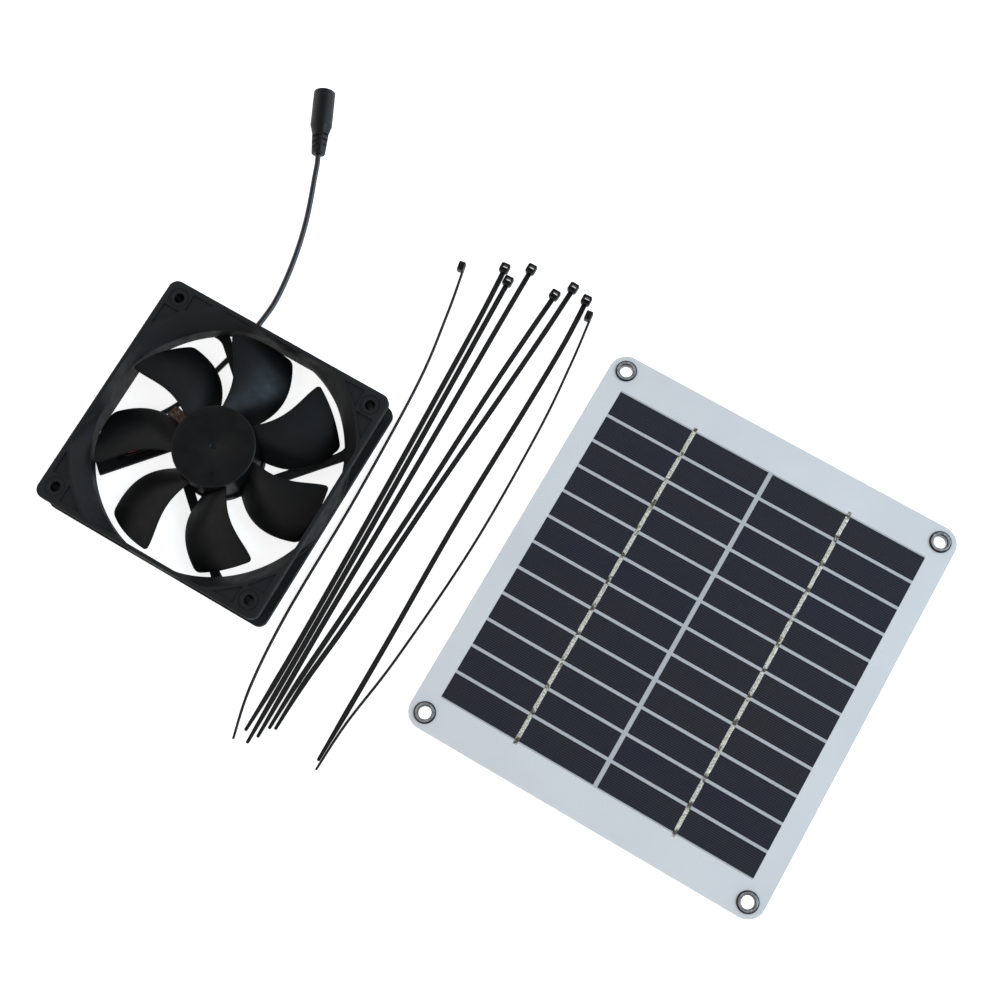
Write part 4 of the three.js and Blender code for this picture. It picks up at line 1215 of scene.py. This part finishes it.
def make_eyelets():
    nickel = dark_nickel()
    w = WASHER
    washer = ring(w.inner, w.outer, w.bottom, w.top, 0.12, 72)
    for number, (x, y) in enumerate(four_corners(*PANEL.pitch), 1):
        for name, shape, node in (("grommet", eyelet(), "eyelet"),
                                  ("grommet_washer", washer, "eyelet_washer")):
            add_piece(f"{name}_{number}", moved(shape, x, y), "solar_panel", nickel,
                      [f"{node}_{number}"])


make_sheets()
make_cells()
make_eyelets()

# ---- CAD nodes that stay

KEPT_NODES = (
    (STEEL, "rotor_yoke"), (MAGNET, "rotor_magnet"), (GROUND_STEEL, "rotor_shaft"),
    (BRASS, "bearing_tube", "terminal_positive", "terminal_negative"),
    (BRONZE, "sleeve_bearing"), (laminations(), "stator_core"), (solder_board(), "circuit_board"),
    (NYLON_WHITE, "shaft_clip", "thrust_pad", "insulator_lower", "insulator_upper"),
    (CHIP_BLACK, "hall_sensor", "driver_chip", "blocking_diode"), (CAN, "capacitor"),
    (label_film(), "motor_label"), (BOX_BLACK, "junction_box", "junction_box_lid", "cable_gland"),
    *[(winding(), f"coil_{number}") for number in range(1, 5)],
    (SCREW_STEEL, *[f"lid_screw_{number}" for number in range(1, 5)]),
)


def dress(name, material):
    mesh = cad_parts[name].data
    mesh.materials.clear()
    mesh.materials.append(material)
    smooth(mesh, SHARP_ANGLE)


for material, *names in KEPT_NODES:
    for name in names:
        dress(name, material)

# ---- floor and light


FLOOR_REACH = 4.0
FLOOR_Z = -0.0001
FLOOR_GLOW = 0.8


def make_floor():
    mesh = bpy.data.meshes.new("floor")
    reach, z = FLOOR_REACH, FLOOR_Z
    corners = [(-reach, -reach, z), (reach, -reach, z), (reach, reach, z), (-reach, reach, z)]
    mesh.from_pydata(corners, [], [(0, 1, 2, 3)])
    floor = put_in_scene("floor", mesh)
    look = Look("floor", 0.9, specular=0.1)
    look.set("Base Color", (0.9, 0.9, 0.9, 1.0))
    look.set("Emission Color", (1, 1, 1, 1))
    look.set("Emission Strength", FLOOR_GLOW)
    mesh.materials.append(look.material)


def add_light(name, azimuth, elevation, distance, size, power, colour):
    data = bpy.data.lights.new(name, "AREA")
    data.shape = "RECTANGLE"
    data.size, data.size_y = size
    data.energy = power
    data.color = colour
    light = put_in_scene(name, data)
    a, e = radians(azimuth), radians(elevation)
    away = Vector((cos(a) * cos(e), sin(a) * cos(e), sin(e)))
    light.location = away * distance
    light.rotation_euler = away.to_track_quat("Z", "Y").to_euler()


def make_world():
    """A soft surround, brighter towards the horizon than overhead."""
    world = bpy.data.worlds.new("surround")
    bpy.context.scene.world = world
    world.use_nodes = True
    nodes = Nodes(world.node_tree)
    place = nodes.node("TexCoord").outputs["Generated"]
    height = nodes.node("SeparateXYZ", {"Vector": place}).outputs["Z"]
    background = nodes.tree.nodes["Background"].inputs
    nodes.feed(background["Strength"], nodes.spread(height, 1.35, 0.2, 0.1, 0.95))
    nodes.feed(background["Color"], (1.0, 0.985, 0.97, 1))


make_floor()
make_world()
add_light("window", 30, 34, 1.9, (1.5, 1.1), 26, (0.52, 0.78, 1.0))
add_light("fill", 205, 40, 2.2, (1.6, 1.2), 2.5, (1.0, 0.95, 0.9))

bpy.context.scene.view_settings.view_transform = "Standard"
